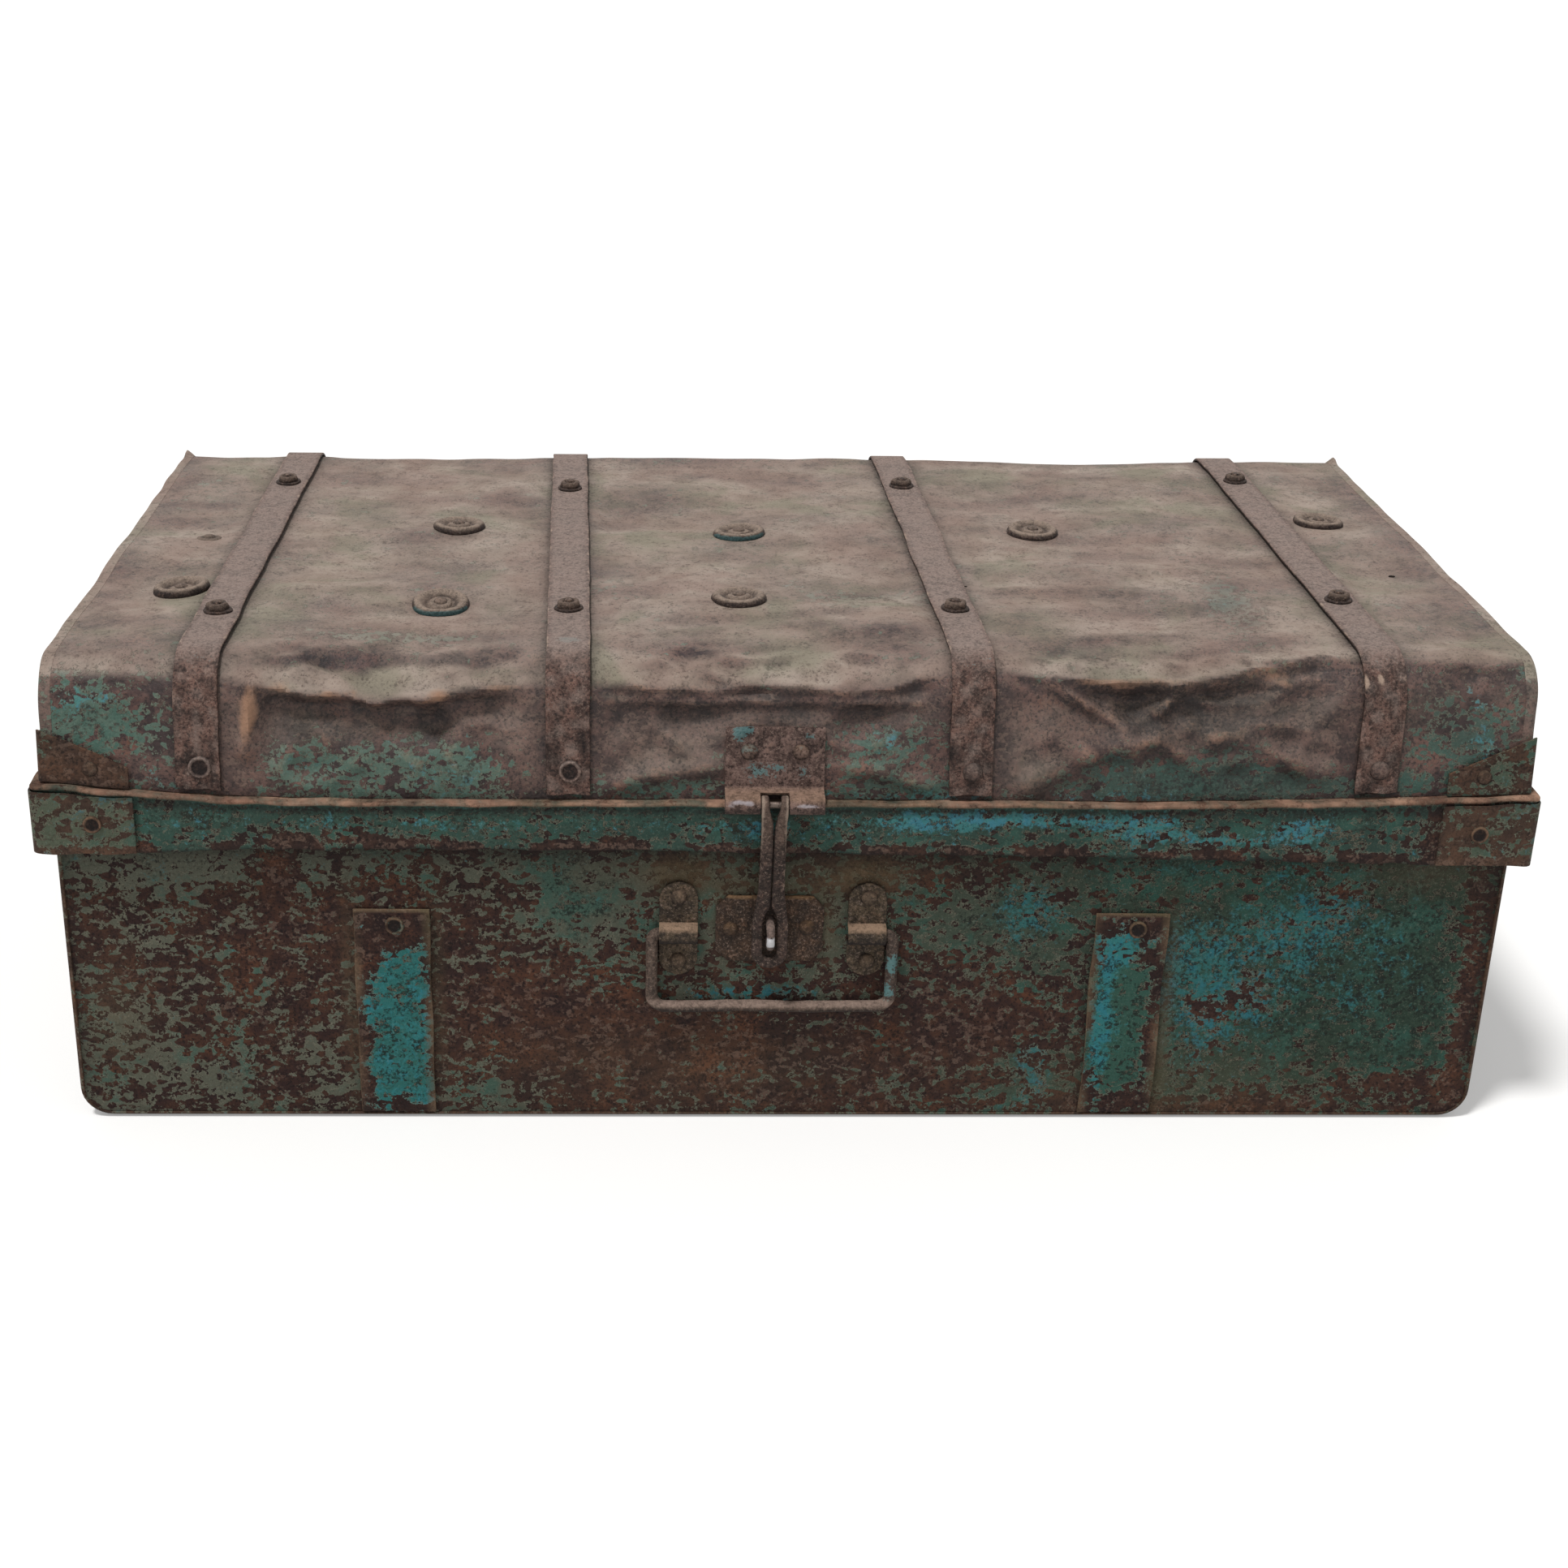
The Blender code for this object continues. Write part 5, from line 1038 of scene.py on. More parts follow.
# Painted shade under the ledge's lip; darker also along the skirt's foot, at the front left corner
# of the ledge, and in spots on the ledge.
grime = (1.3 * bell(z, 187.4, 2.5) + 0.8 * ramp(159.2, z, 1.6)
         + 0.7 * clouds(x, y, ((-378, -212, 7, 5, 1.0),)) * (z > 189)
         + 0.5 * ledge * np.clip(ripple(x, y, 13.0, 77) - 0.35, 0, 1))
outer = marks(x, paint=paint, bright=bright, dust=dust, grime=np.clip(grime, 0, 0.9),
              wear=0.15 * ramp(159, z, 1.5))
put("lid_band_fold", [thicken(band_grid.reshape(-1, 3), grid_quads(*x.shape, ring=True), outer,
                              SHEET, marks(x, paint=-0.3, dust=0.2))],
    band_coat, "lid", ["lid_band"])

# Corner patches: angles of thinner sheet riveted round the skirt's corners and round the lid's
# lower corners, where the folded seams would otherwise spring open.

PATCH = 1.0
SKIRT_LEG, SKIRT_PATCH_TALL = 50.0, 33.0
LID_LEG, LID_PATCH_TALL, LID_PATCH_DROP = 43.0, 28.0, 17.0


def patch_stations(leg, corner=1.0):
    """A path round a corner seen from above: how far in from each face, and the way out."""
    leg_in = np.linspace(leg, corner, 18)[:-1]
    leg_out, none = leg_in[::-1], 0 * leg_in
    bend = np.linspace(0, math.pi / 2, 5)
    in_x = np.concatenate([leg_in, corner * (1 - np.sin(bend)), none])
    in_y = np.concatenate([none, corner * (1 - np.cos(bend)), leg_out])
    way_x = np.concatenate([none, np.sin(bend), none + 1])
    way_y = np.concatenate([none + 1, np.cos(bend), none])
    return in_x, in_y, way_x, way_y, np.concatenate([leg_in, 0 * bend, leg_out])


def patch_loops(height, seed):
    """For each station a closed loop up the outer face and down the inner, as shares of the
    patch's height there: height and out."""
    climb = np.linspace(0, 1, 12)
    up = np.concatenate([climb, climb[::-1]])
    out = np.concatenate([np.full(12, PATCH), np.zeros(12)])
    wobble = 0.3 * ripple(np.arange(len(height)) * 2.2, np.zeros(len(height)), 14.0, seed)
    return up[None, :] * (height + wobble)[:, None], out[None, :] + 0 * height[:, None]


patch_coat = old_paint("patch_paint", shade(50, 37, 34), shade(80, 57, 46), shade(72, 86, 72),
                       shade(60, 80, 68), shade(56, 108, 108), shade(52, 112, 128),
                       shade(136, 112, 90), shade(104, 84, 66), cover=0.54)
for word, side_x, side_y in (("front_left", -1, -1), ("front_right", 1, -1),
                             ("back_left", -1, 1), ("back_right", 1, 1)):
    seed = 80 + side_x + 3 * side_y
    in_x, in_y, way_x, way_y, away = patch_stations(SKIRT_LEG, 3.6)
    high, out = patch_loops(0 * away + SKIRT_PATCH_TALL, seed)
    x = side_x * (BAND_HALF + SEAT - in_x[:, None] + out * way_x[:, None])
    y = side_y * (BAND_DEEP + SEAT - in_y[:, None] + out * way_y[:, None])
    loops = hang(np.stack([x, y, SKIRT_FOOT + 0.3 + high], -1))
    loops[..., 0] += side_x * way_x[:, None] * 0.7
    loops[..., 1] += side_y * way_y[:, None] * 0.7
    left_front = 0.55 if side_x < 0 else 0.25
    # The patch's top, just under the ledge's lip, takes painted shade.
    table = marks(x, paint=left_front + 0.3 * ripple(x + y, high, 26.0, seed) - 0.8 * (high < 5),
                  bright=0.25 + 0.2 * ripple(x + y, high, 18.0, seed + 1),
                  dust=0.15, grime=0.55 * (high > 31) + 0.3 * (away > 48)[:, None],
                  wear=0.16 * ((away > 49) | (away == 0))[:, None])
    spots = hang(np.array([[side_x * (BAND_HALF + 1.9 - 31), side_y * (BAND_DEEP + 1.9), 174.4],
                           [side_x * (BAND_HALF + 1.9), side_y * (BAND_DEEP + 1.9 - 31), 174.4]]))
    rivets = [head(spots[0], (0, side_y, 0), 4.8, 1.2, seed=seed, profile=HEAD_RING),
              head(spots[1], (side_x, 0, 0), 4.8, 1.2, seed=seed, profile=HEAD_RING)]
    put("skirt_corner_" + word, [tube(loops, table), *rivets], patch_coat, "lid",
        ["skirt_patch_" + word])

    in_x, in_y, way_x, way_y, away = patch_stations(LID_LEG)
    tall = LID_PATCH_TALL - LID_PATCH_DROP * away / LID_LEG
    high, out = patch_loops(tall, seed + 2)
    t = high / math.cos(LEAN) + 0.3
    t = t if side_y < 0 else LID_RUN - t
    on_face = lid_point(side_x * np.minimum(LID_HALF + 0.3 - in_x[:, None], LID_HALF - 1.0), t,
                        SHEET + 2 * SEAT + out)
    corner = lid_point(side_x * (LID_HALF - 1.0) + 0 * t, t, SHEET + 2 * SEAT + 0 * out)
    x = side_x * (LID_HALF + SEAT + 0.2 - in_x[:, None] + out * way_x[:, None])
    y = corner[..., 1] - side_y * in_y[:, None] + side_y * out * way_y[:, None]
    front_part = (way_x < 0.01)[:, None]
    loops = np.stack([x, np.where(front_part, on_face[..., 1], y),
                      np.where(front_part, on_face[..., 2], corner[..., 2])], -1)
    painted, darkening = (1.0, 0.2) if side_x > 0 else (0.0, 0.3)
    table = marks(x, paint=-0.8 + 0.4 * ripple(x + y, high, 22.0, seed + 5) + painted,
                  bright=0.1, dust=0.12, grime=0.5 * (high < 1.2) + darkening,
                  wear=0.3 * (high > tall[:, None] - 1))
    face_x = side_x * (LID_HALF + 0.5 + PATCH)
    rise = 9.0 / math.cos(LEAN)
    rivet_t = rise if side_y < 0 else LID_RUN - rise
    spots = [lid_point(side_x * (LID_HALF - 24), rivet_t, SHEET + 2 * SEAT + PATCH),
             np.array([face_x, side_y * 184.0, LID_FOOT + 9])]
    rivets = [head(spots[0], (0, side_y * math.cos(LEAN), math.sin(LEAN)), 4.0, 1.4, seed=seed),
              head(spots[1], (side_x, 0, 0), 4.0, 1.4, seed=seed)]
    put("lid_corner_" + word, [tube(loops, table), *rivets], patch_coat, "lid",
        ["lid_patch_" + word])

# Four iron straps over the lid, each riveted at its feet and bolted twice on top: hoop iron with
# rubbed edges, dusty above and bare brown below the bend.


def old_iron(name, dark, brown, dusty, rub_and_highlight, flecks=0.5, specular=0.22):
    """Bare iron gone brown: cloudy rust with a crust of darker and paler specks, dust where it
    lies, rubbed edges and flecks of old paint. The dust mark also lays painted light, the grime
    mark painted shade, and the rub colour painted highlights as well as rubbed edges."""
    coat = Coat(name)
    lumps = coat.noise(5.0, 5.0, 0.65, 0.2)
    broad = coat.noise(22.0, 4.0, 0.6)
    fine = coat.noise(1.5, 4.0, 0.68, 0.2)
    grit = coat.noise(0.5, 2.0, 0.6)
    colour = coat.lay(dark, brown, ((lumps, 0.6), (broad, 0.4)), 0.40, 0.60)
    colour = coat.lay(colour, shade(110, 80, 64), ((lumps, 0.5), (fine, 0.5)), 0.54, 0.64, 0.0, 0.5)
    colour = coat.lay(colour, shade(26, 20, 19), fine, 0.36, 0.50, 0.85, 0.0)
    colour = coat.lay(colour, shade(150, 130, 118), ((fine, 0.6), (grit, 0.4)), 0.52, 0.64, 0.0,
                      0.62)
    colour = coat.lay(colour, shade(76, 128, 130), ((lumps, 0.35), (fine, 0.45), (broad, 0.20),
                                                    (coat.mark("bright"), 0.16)),
                      0.62, 0.66, 0.0, flecks)
    # Dust where it lies, and painted light where the dust mark carries it.
    lying = coat.lay(dusty, tinted(dusty, 1.28, 1.28, 1.28), ((fine, 0.5), (grit, 0.5)), 0.38, 0.60)
    held = coat.step(coat.sum((lumps, 0.5), (fine, 0.5)), 0.34, 0.56, 0.50, 1.0)
    dusted = coat.times(coat.mark("dust"), held)
    colour = coat.mix(dusted, colour, lying)
    # Dirt, and the painted shade that the grime mark carries.
    darkening = coat.times(coat.mark("grime"), coat.step(fine, 0.2, 0.7, 1.0, 0.65))
    colour = coat.mix(darkening, colour, shade(28, 22, 21))
    # Rubbed edges, and the painted highlights that the wear mark carries.
    worn_and_lit = coat.step(coat.sum((coat.mark("wear"), 1.0), (lumps, 0.4), (fine, 0.4)), 0.66, 1.0)
    colour = coat.mix(worn_and_lit, colour, rub_and_highlight)
    rough = coat.step(coat.sum((worn_and_lit, -0.5), (dusted, 0.5), (grit, 0.3)), -0.3, 0.6, 0.42, 0.88)
    relief = coat.sum((lumps, 0.0014), (fine, 0.0009), (grit, 0.00016), (broad, 0.0010))
    return coat.surface({"Base Color": colour, "Roughness": rough, "Metallic": 0.15,
                         "Specular IOR Level": specular}, relief)


strap_coat = old_iron("strap_iron", shade(60, 43, 38), shade(116, 86, 76), shade(144, 129, 121),
                      shade(160, 138, 122), 0.7)
STRAP_THICK, STRAP_START, STRAP_LIFT, STRAP_RIVET = 1.8, 2.7, 1.0, 13.8
strap_t = stations((STRAP_START, 92, 62), (92, LID_RUN - 92, 60),
                   (LID_RUN - 92, LID_RUN - STRAP_START, 40))
strap_loop = strip_loop(STRAP_WIDE, STRAP_THICK, 0.6)
for index in range(4):
    y = lid_profile(strap_t)[0]
    middle = strap_middle(index, y) + 0.35 * ripple(strap_t, 0 * strap_t, 80.0, 90 + index)
    swell = 1 + 0.012 * ripple(strap_t, 0 * strap_t, 30.0, 95 + index)
    across = strap_loop[None, :, 0] * swell[:, None]
    x = middle[:, None] + across
    t = strap_t[:, None] + 0 * x
    t[:3] += 0.4 * np.sin(across[:3] * 0.4 + index)
    proud = 0.9 * bell(t, 61, 16.0) + STRAP_LIFT * ramp(from_foot(t), 58, 30.0)
    loops = lid_point(x, t, SEAT + strap_loop[None, :, 1] + proud)
    edge = ramp(np.abs(across), 9.6, 0.9) * (strap_loop[None, :, 1] > 1.1)
    upper = ramp(from_foot(t), 60, 16.0)
    # Painted glints on the fourth strap's bend.
    shine = clouds(across, t, (
        (9, 58, 1.1, 2.6, 0.8), (-3, 57, 1.3, 2.2, 0.8), (1, 61, 1.4, 1.2, 0.7),
        (4, 54, 0.9, 1.4, 0.7), (-10.2, 56, 0.8, 3, 0.7), (-6, 62, 1.0, 1.0, 0.6)))
    blue = (((0, 84, 8, 5, 1.4), (-9, 40, 2, 16, 0.5)) if index == 1
            else ((2, 150, 8, 26, 0.5), (0, 66, 10, 5, 0.4)))
    # flank: the strap's lower sides, next to the sheet, darkened as painted shade.
    flank = ramp(1.5, strap_loop[None, :, 1], 0.7)
    patchy = (1 - upper) * np.clip(ripple(x, t, 9.0, 99 + index), 0, 1)
    streaks = 0.10 + 0.35 * bell(t, 0, 12.0) + 0.38 * ripple(x, t, 13.0, 98 + index)
    table = marks(x, bright=clouds(across, t, blue),
                  dust=(0.06 + 0.36 * patchy + 0.72 * upper) * (1 - flank) * (1 - 0.4 * edge),
                  wear=edge * (0.30 + 0.16 * ripple(t, x, 14.0, 97)) * (0.4 + 0.6 * upper)
                  + 0.12 * bell(t, 52, 14.0) + (shine if index == 3 else 0),
                  grime=0.95 * flank + (1 - upper) * streaks
                  + 0.5 * bell(t, 20, 7.0) * (1 - upper) * (0.6 + 0.4 * np.sin(across)))
    rivets = []
    for t_rivet in (STRAP_RIVET, LID_RUN - STRAP_RIVET):
        on_front = t_rivet < 100
        x_rivet = strap_middle(index, -200.0 if on_front else 200.0) + (1.0 if on_front else 0.0)
        spot = lid_point(x_rivet, t_rivet, SEAT + STRAP_THICK - 0.15)
        way = (0, -math.cos(LEAN) if on_front else math.cos(LEAN), math.sin(LEAN))
        open_end = index < 2
        rivets.append(head(spot, way, 5.8 if open_end else 5.2, 1.7 if open_end else 2.4,
                           seed=100 + index, profile=HEAD_RING if open_end else HEAD_ROUND))
    put("strap_%d" % (index + 1), [tube(loops, table), *rivets], strap_coat, "lid",
        ["lid_strap_%d" % (index + 1)])

# The straps' bolts: a washer and a rust-swollen nut on each, with the bolt's end standing out.
# Plain steel gone dark, they hold the strap down on the lid's sheet.

WASHER = ((0, 1.3), (6.4, 1.3), (7.2, 1.1), (7.5, 0.6), (7.3, 0.0), (0, 0.0))
NUT = ((0, 3.4), (2.9, 3.5), (3.6, 4.5), (4.8, 4.7), (5.7, 4.2), (6.2, 3.0), (6.4, 1.8),
       (6.1, 1.1), (0, 1.1))
BOLT_END = ((0, 5.0), (0.9, 5.2), (1.7, 5.1), (2.1, 4.6), (2.2, 3.4), (0, 3.4))
bolt_coat = old_iron("bolt_rust", shade(46, 35, 32), shade(74, 56, 49), shade(120, 104, 93),
                     shade(142, 118, 100), 0.2)


def run_at(y):
    """The distance from the front foot of a place on the flat top."""
    return WALL_RUN + BEND_RUN - BEND_Y + y


def on_lid(name, shapes, coat, replaced, place):
    """Set turned shapes on the lid at a place across, from front to back, and out: each point
    goes where the lid's surface carries it."""
    x0, y0, base = place
    made = []
    for (points, faces), table in shapes:
        carried = lid_point(x0 + points[:, 0], run_at(y0 + points[:, 1]), base + points[:, 2])
        made.append((carried, faces, table))
    put(name, made, coat, "lid", replaced, sharp=50.0)


def middle_of(node):
    """The middle of a CAD node seen from above: x and y in millimetres."""
    low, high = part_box(node)
    return [(low[axis] + high[axis]) / 2 / MM for axis in (0, 1)]


def spun(local, angle, lean=0.0):
    """Turn a shape about its own axis by an angle, and lean it: its height grows in step with
    its place across."""
    points, faces = local
    turned_x = points[:, 0] * math.cos(angle) - points[:, 1] * math.sin(angle)
    turned_y = points[:, 0] * math.sin(angle) + points[:, 1] * math.cos(angle)
    return np.stack([turned_x, turned_y, points[:, 2] + lean * turned_x], 1), faces


for number in range(8):
    node = "strap_bolt_%d" % (number + 1)
    washer = turned(WASHER, 28, 0.035, 110 + number)
    nut = turned(NUT, 30, 0.06, 120 + number, 0.9)
    end = turned(BOLT_END, 16, 0.06, 130 + number)
    shapes = []
    for local, wear in ((washer, 0.05), (nut, 0.10), (end, 0.22)):
        local = spun(local, number * 0.7, 0.02 * math.sin(number * 2.1))
        up = np.clip(local[0][:, 2] / 4.4, 0, 1)
        far = np.hypot(local[0][:, 0], local[0][:, 1])
        shapes.append((local, marks(up, dust=0.6 * up * (far > 2.4), wear=wear + 0.12 * up,
                                    grime=0.75 * (1 - up) + 0.7 * (np.abs(far - 2.9) < 0.35))))
    on_lid("bolt_%d" % (number + 1), shapes, bolt_coat, [node],
           (*middle_of(node), SEAT + STRAP_THICK + STRAP_LIFT + 0.1))

# Seven dished washers riveted on the lid's top, where the inside fittings were fixed; one more
# small rivet and two empty holes lie between them.

DISH = ((0, 1.0), (3.0, 1.0), (6.4, 1.0), (8.0, 1.3), (9.4, 2.2), (10.6, 3.4), (11.6, 4.1),
        (12.6, 4.25), (13.6, 3.8), (14.5, 2.6), (15.0, 1.2), (15.0, 0.0), (0, 0.0))
DISH_RIVET = ((0, 3.9), (1.6, 3.8), (2.8, 3.3), (3.5, 2.5), (3.8, 1.3), (0, 1.3))
COLLAR = ((0, 2.3), (4.8, 2.3), (5.9, 1.9), (6.3, 0.9), (0, 0.9))
SMALL_RIVET = ((0, 2.4), (2.0, 2.2), (3.1, 1.6), (3.7, 0.8), (5.2, 0.7), (6.6, 0.5), (7.2, -0.2),
               (0, -0.2))
cap_coat = old_iron("washer_rust", shade(60, 47, 43), shade(90, 72, 64), shade(146, 130, 117),
                    shade(166, 144, 126), 0.8)
CAP_BLUE = (0.0, 0.1, 1.0, 0.9, 0.1, 0.0, 0.0)
for number in range(7):
    node = "lid_cap_%d" % (number + 1)
    tall = 1.0 if number == 0 else 0.78
    dish = turned([(r, h * tall) for r, h in DISH], 48, 0.014, 140 + number)
    rivet = turned(DISH_RIVET, 20, 0.05, 150 + number)
    collar = turned(COLLAR, 24, 0.03, 160 + number)
    shapes = []
    for local, dusty, wear in ((dish, 0.84, 0.05), (rivet, 0.35, 0.14), (collar, 0.7, 0.05)):
        points = local[0]
        far = np.hypot(points[:, 0], points[:, 1])
        # Painted shade on the dish's outer side, most at the front, and in its groove; darker round
        # the rivet's foot; a painted highlight ring on the dish's crest.
        outer_side = ramp(far, 13.9, 0.8) * (points[:, 2] < 3.4 * tall)
        groove = bell(far, 8.0, 1.5) if local is dish else 0.0
        front = np.clip(-points[:, 1] / 8.0, 0, 1)
        shapes.append((spun(local, number * 1.1) if local is not dish else local,
                       marks(far, dust=dusty * (1 - outer_side) * (1 - 0.7 * groove),
                             wear=wear + 0.32 * (np.abs(far - 12.4) < 0.7),
                             grime=0.85 * outer_side * (0.4 + 0.6 * front) + 0.45 * groove
                             + 0.6 * (np.abs(far - 3.8) < 0.3) * (local is not dish),
                             bright=CAP_BLUE[number] * 1.6 * outer_side * front)))
    on_lid("cap_%d" % (number + 1), shapes, cap_coat, [node], (*middle_of(node), SEAT))

small = turned(SMALL_RIVET, 24, 0.03, 170)
small_far = np.hypot(small[0][:, 0], small[0][:, 1])
small_marks = marks(small_far, dust=0.5, wear=0.25 * (small_far < 2.5),
                    grime=0.75 * bell(small_far, 4.0, 1.0) + 0.4 * (small_far > 6.8))
on_lid("lid_small_rivet", [(small, small_marks)], cap_coat, (), (-328.6, 10.0, 0.0))
# The empty holes are dark plugs: painted shade for the inside of a hole.
hole_coat = Coat("empty_hole")
hole_grit = hole_coat.noise(1.2, 3.0)
hole_coat.surface({"Base Color": hole_coat.mix(hole_grit, shade(14, 11, 10), shade(34, 26, 23)),
                   "Roughness": 0.95, "Specular IOR Level": 0.1})
for word, x0, y0, radius in (("a", 97.0, -77.0, 1.1), ("b", 343.0, -50.0, 2.1)):
    plug = turned([(0, 0.12), (radius * 0.8, 0.12), (radius, -0.1), (radius, -0.6), (0, -0.6)],
                  14, 0.08, 171)
    on_lid("empty_hole_" + word, [(plug, marks(plug[0][:, 0]))], hole_coat.owner, (),
           (x0, y0, 0.0))

# The hasp's plate: iron riveted on the lid's front, turned out over the ledge and rolled into two
# knuckles round the pin, with a gap between them for the arm. Flecks of old blue; pale glints on
# the knuckles are painted highlights, and their lower halves take painted shade.

iron_coat = old_iron("hasp_iron", shade(66, 50, 47), shade(126, 102, 95), shade(150, 122, 102),
                     shade(156, 146, 148), 0.7)
PIN_Y, PIN_Z, KNUCKLE, KNUCKLE_GAP = -219.7, 189.7, 4.8, 7.35
PLATE_HALF, PLATE_THICK, PLATE_RIVET = 25, 1.6, 13.0


def kept(points, faces, amounts):
    """Drop the points that no face uses."""
    used = np.unique(faces)
    place = np.zeros(len(points), int)
    place[used] = np.arange(len(used))
    return points[used], place[faces], amounts[used]


plate_x = np.linspace(HASP_X - PLATE_HALF, HASP_X + PLATE_HALF, 35)
for gap_x in (HASP_X - KNUCKLE_GAP, HASP_X + KNUCKLE_GAP):
    plate_x[np.argmin(np.abs(plate_x - gap_x))] = gap_x
wall_t = np.linspace(35.0, 7.2, 18)
plate_wall = lid_point(plate_x[None, :], wall_t[:, None], SEAT + PLATE_THICK)
foot_y, foot_z = plate_wall[-1, len(plate_x) // 2, 1:]
turn = np.linspace(0, math.pi / 2 - 0.1, 5)[1:]
curl = np.linspace(math.radians(78), math.radians(400), 30) - math.pi / 2
front_y = np.concatenate([foot_y - 1.5 * (1 - np.cos(turn)),
                          np.linspace(foot_y - 4.0, PIN_Y + 5, 4), PIN_Y - KNUCKLE * np.sin(curl)])
front_z = np.concatenate([foot_z - 1.5 * np.sin(turn), np.linspace(foot_z - 1.5, PIN_Z + 4.5, 4),
                          PIN_Z + KNUCKLE * np.cos(curl)])
plate_front = np.stack(np.broadcast_arrays(plate_x, front_y[:, None], front_z[:, None]), -1)
surface_points = np.concatenate([plate_wall, plate_front])
quads = grid_quads(*surface_points.shape[:2])
row, column = np.divmod(quads[:, 0], len(plate_x))
gap_open = ((plate_x[column] > HASP_X - KNUCKLE_GAP - 0.1)
            & (plate_x[column] < HASP_X + KNUCKLE_GAP - 0.1))
quads = quads[~((row >= len(wall_t) + 7) & gap_open)]
x, y, z = (surface_points[..., axis] for axis in range(3))
knuckles = ramp(-211.5, y, 4.0)
on_top = knuckles * ramp(z - PIN_Z, 1.0, 3.0)
bend = bell(z, 193.9, 1.2) * ramp(-204.5, y, 2)
blue = clouds(x, z, (
    (-30, 223, 5, 5, 1.4), (-25, 225, 3, 2.5, 1.1), (4, 222, 5, 2.5, 1.1), (-21, 204, 8, 5, 1.0),
    (-10, 206, 4, 3, 0.8), (2, 203, 5, 5, 0.8)))
# Painted highlights on the knuckles.
glints = clouds(x, z, (
    (-31, 192.5, 4, 1.1, 0.8), (-25, 192.0, 2.5, 1.4, 0.7), (4, 191.0, 6, 1.0, 0.8),
    (-34, 190.6, 2, 1.0, 0.5)))
# The knuckles' lower halves take painted shade; the plate is darker along a line above the bend, in
# rings round the rivets and in a patch right of the middle.
table = marks(x, dust=0.05 + 0.6 * bend * (1 - 0.5 * knuckles) + 0.3 * on_top,
              bright=blue * (1 - knuckles), wear=0.75 * knuckles * glints + 0.1,
              grime=0.6 * knuckles * ramp(PIN_Z - z, -1, 3.0)
              + 0.4 * bell(z, 196.6, 1.3) * (1 - knuckles)
              + 0.5 * bell(np.hypot(np.abs(x - HASP_X) - PLATE_RIVET, z - 217.5), 5.4, 1.3)
              + 0.35 * np.exp(-((x - HASP_X - 12) / 9) ** 2 - ((z - 210) / 8) ** 2))
shell = thicken(*kept(surface_points.reshape(-1, 3), quads, table), PLATE_THICK)
rivets = []
for side in (-PLATE_RIVET, PLATE_RIVET):
    spot = lid_point(HASP_X + side, 23.2, SEAT + PLATE_THICK - 0.2)
    dome = head(spot, (0, -math.cos(LEAN), math.sin(LEAN)), 4.4, 2.2, seed=180)
    blue = (1.0 if side < 0 else 0.3) * np.clip((dome[0][:, 2] - spot[2] + 1) / 2, 0, 1)
    rivets.append((dome[0], dome[1], dome[2] + marks(blue, bright=blue)))
put("hasp_leaf", [shell, *rivets], iron_coat, "lid", ["hasp_plate"], sharp=50.0)

# The hasp's pin: a length of steel wire through the plate's knuckles and the arm's fold, its two
# ends showing. It keeps its first shape and takes a finish that the arm has rubbed.

steel_coat = Coat("rubbed_steel")
steel_grain = steel_coat.noise(1.4, 3.0, 0.6, stretch=(4.0, 1.0, 1.0))
steel_spots = steel_coat.noise(3.0, 4.0, 0.65)
steel_dark = steel_coat.step(steel_coat.sum((steel_spots, 0.7), (steel_grain, 0.3)), 0.42, 0.62)
steel_coat.surface({"Base Color": steel_coat.mix(steel_dark, shade(104, 92, 84),
                                                 shade(58, 45, 40)),
                    "Metallic": 0.8, "Specular IOR Level": 0.5,
                    "Roughness": steel_coat.step(steel_dark, 0.0, 1.0, 0.38, 0.7)},
                   steel_coat.sum((steel_grain, 0.0002), (steel_spots, 0.0003)))
solids["hasp_pin"].material_slots[0].material = steel_coat.owner

# The hasp's arm: one strip folded back on itself. It starts at the pin, runs down, loops round to
# leave the slot, and comes back up, so a seam shows down its front and a V at its top.

arm_coat = old_iron("arm_iron", shade(38, 30, 27), shade(70, 55, 50), shade(124, 104, 92),
                    shade(150, 132, 118), 0.35)
ARM_PATH_Z = (60.0, 126.0, 134.0, 169.7, 176.0, 182.0, 187.0, 200.0)
ARM_PATH_Y = (-211.3, -211.3, -212.0, -219.4, -220.2, -221.6, -222.9, -223.0)
SLOT_FOOT = 103.0


def arm_path():
    """One half's middle line from the pin down to the slot's foot: x offset, y and z, with the
    bar's width and thickness."""
    over = np.linspace(math.radians(-35), math.radians(90), 12)
    top_y, top_z = PIN_Y - 3.3 * np.sin(over), PIN_Z + 3.3 * np.cos(over)
    fall = np.linspace(PIN_Z, SLOT_FOOT, 90)
    z = np.concatenate([top_z[:-1], fall])
    y = np.concatenate([top_y[:-1], np.interp(fall, ARM_PATH_Z, ARM_PATH_Y)])
    inner = np.interp(z, (103, 119, 125.5, 128.5, 176, 181, 190, 200),
                      (3.8, 3.8, 2.6, 0.12, 0.12, 0.7, 3.0, 3.4))
    outer_edge = np.interp(z, (103, 118, 128, 136, 150, 180, 186, 200),
                           (9.4, 9.4, 8.2, 7.0, 6.6, 6.5, 6.9, 7.05))
    soft = np.ones(5) / 5
    inner[2:-2], outer_edge[2:-2] = (np.convolve(line, soft, "valid")
                                     for line in (inner, outer_edge))
    y[16:-2] = np.convolve(y, soft, "valid")[14:]
    thick = np.interp(z, (103, 124, 134, 184, 190), (2.9, 3.0, 3.8, 3.9, 2.9))
    return (inner + outer_edge) / 2, y, z, outer_edge - inner, thick


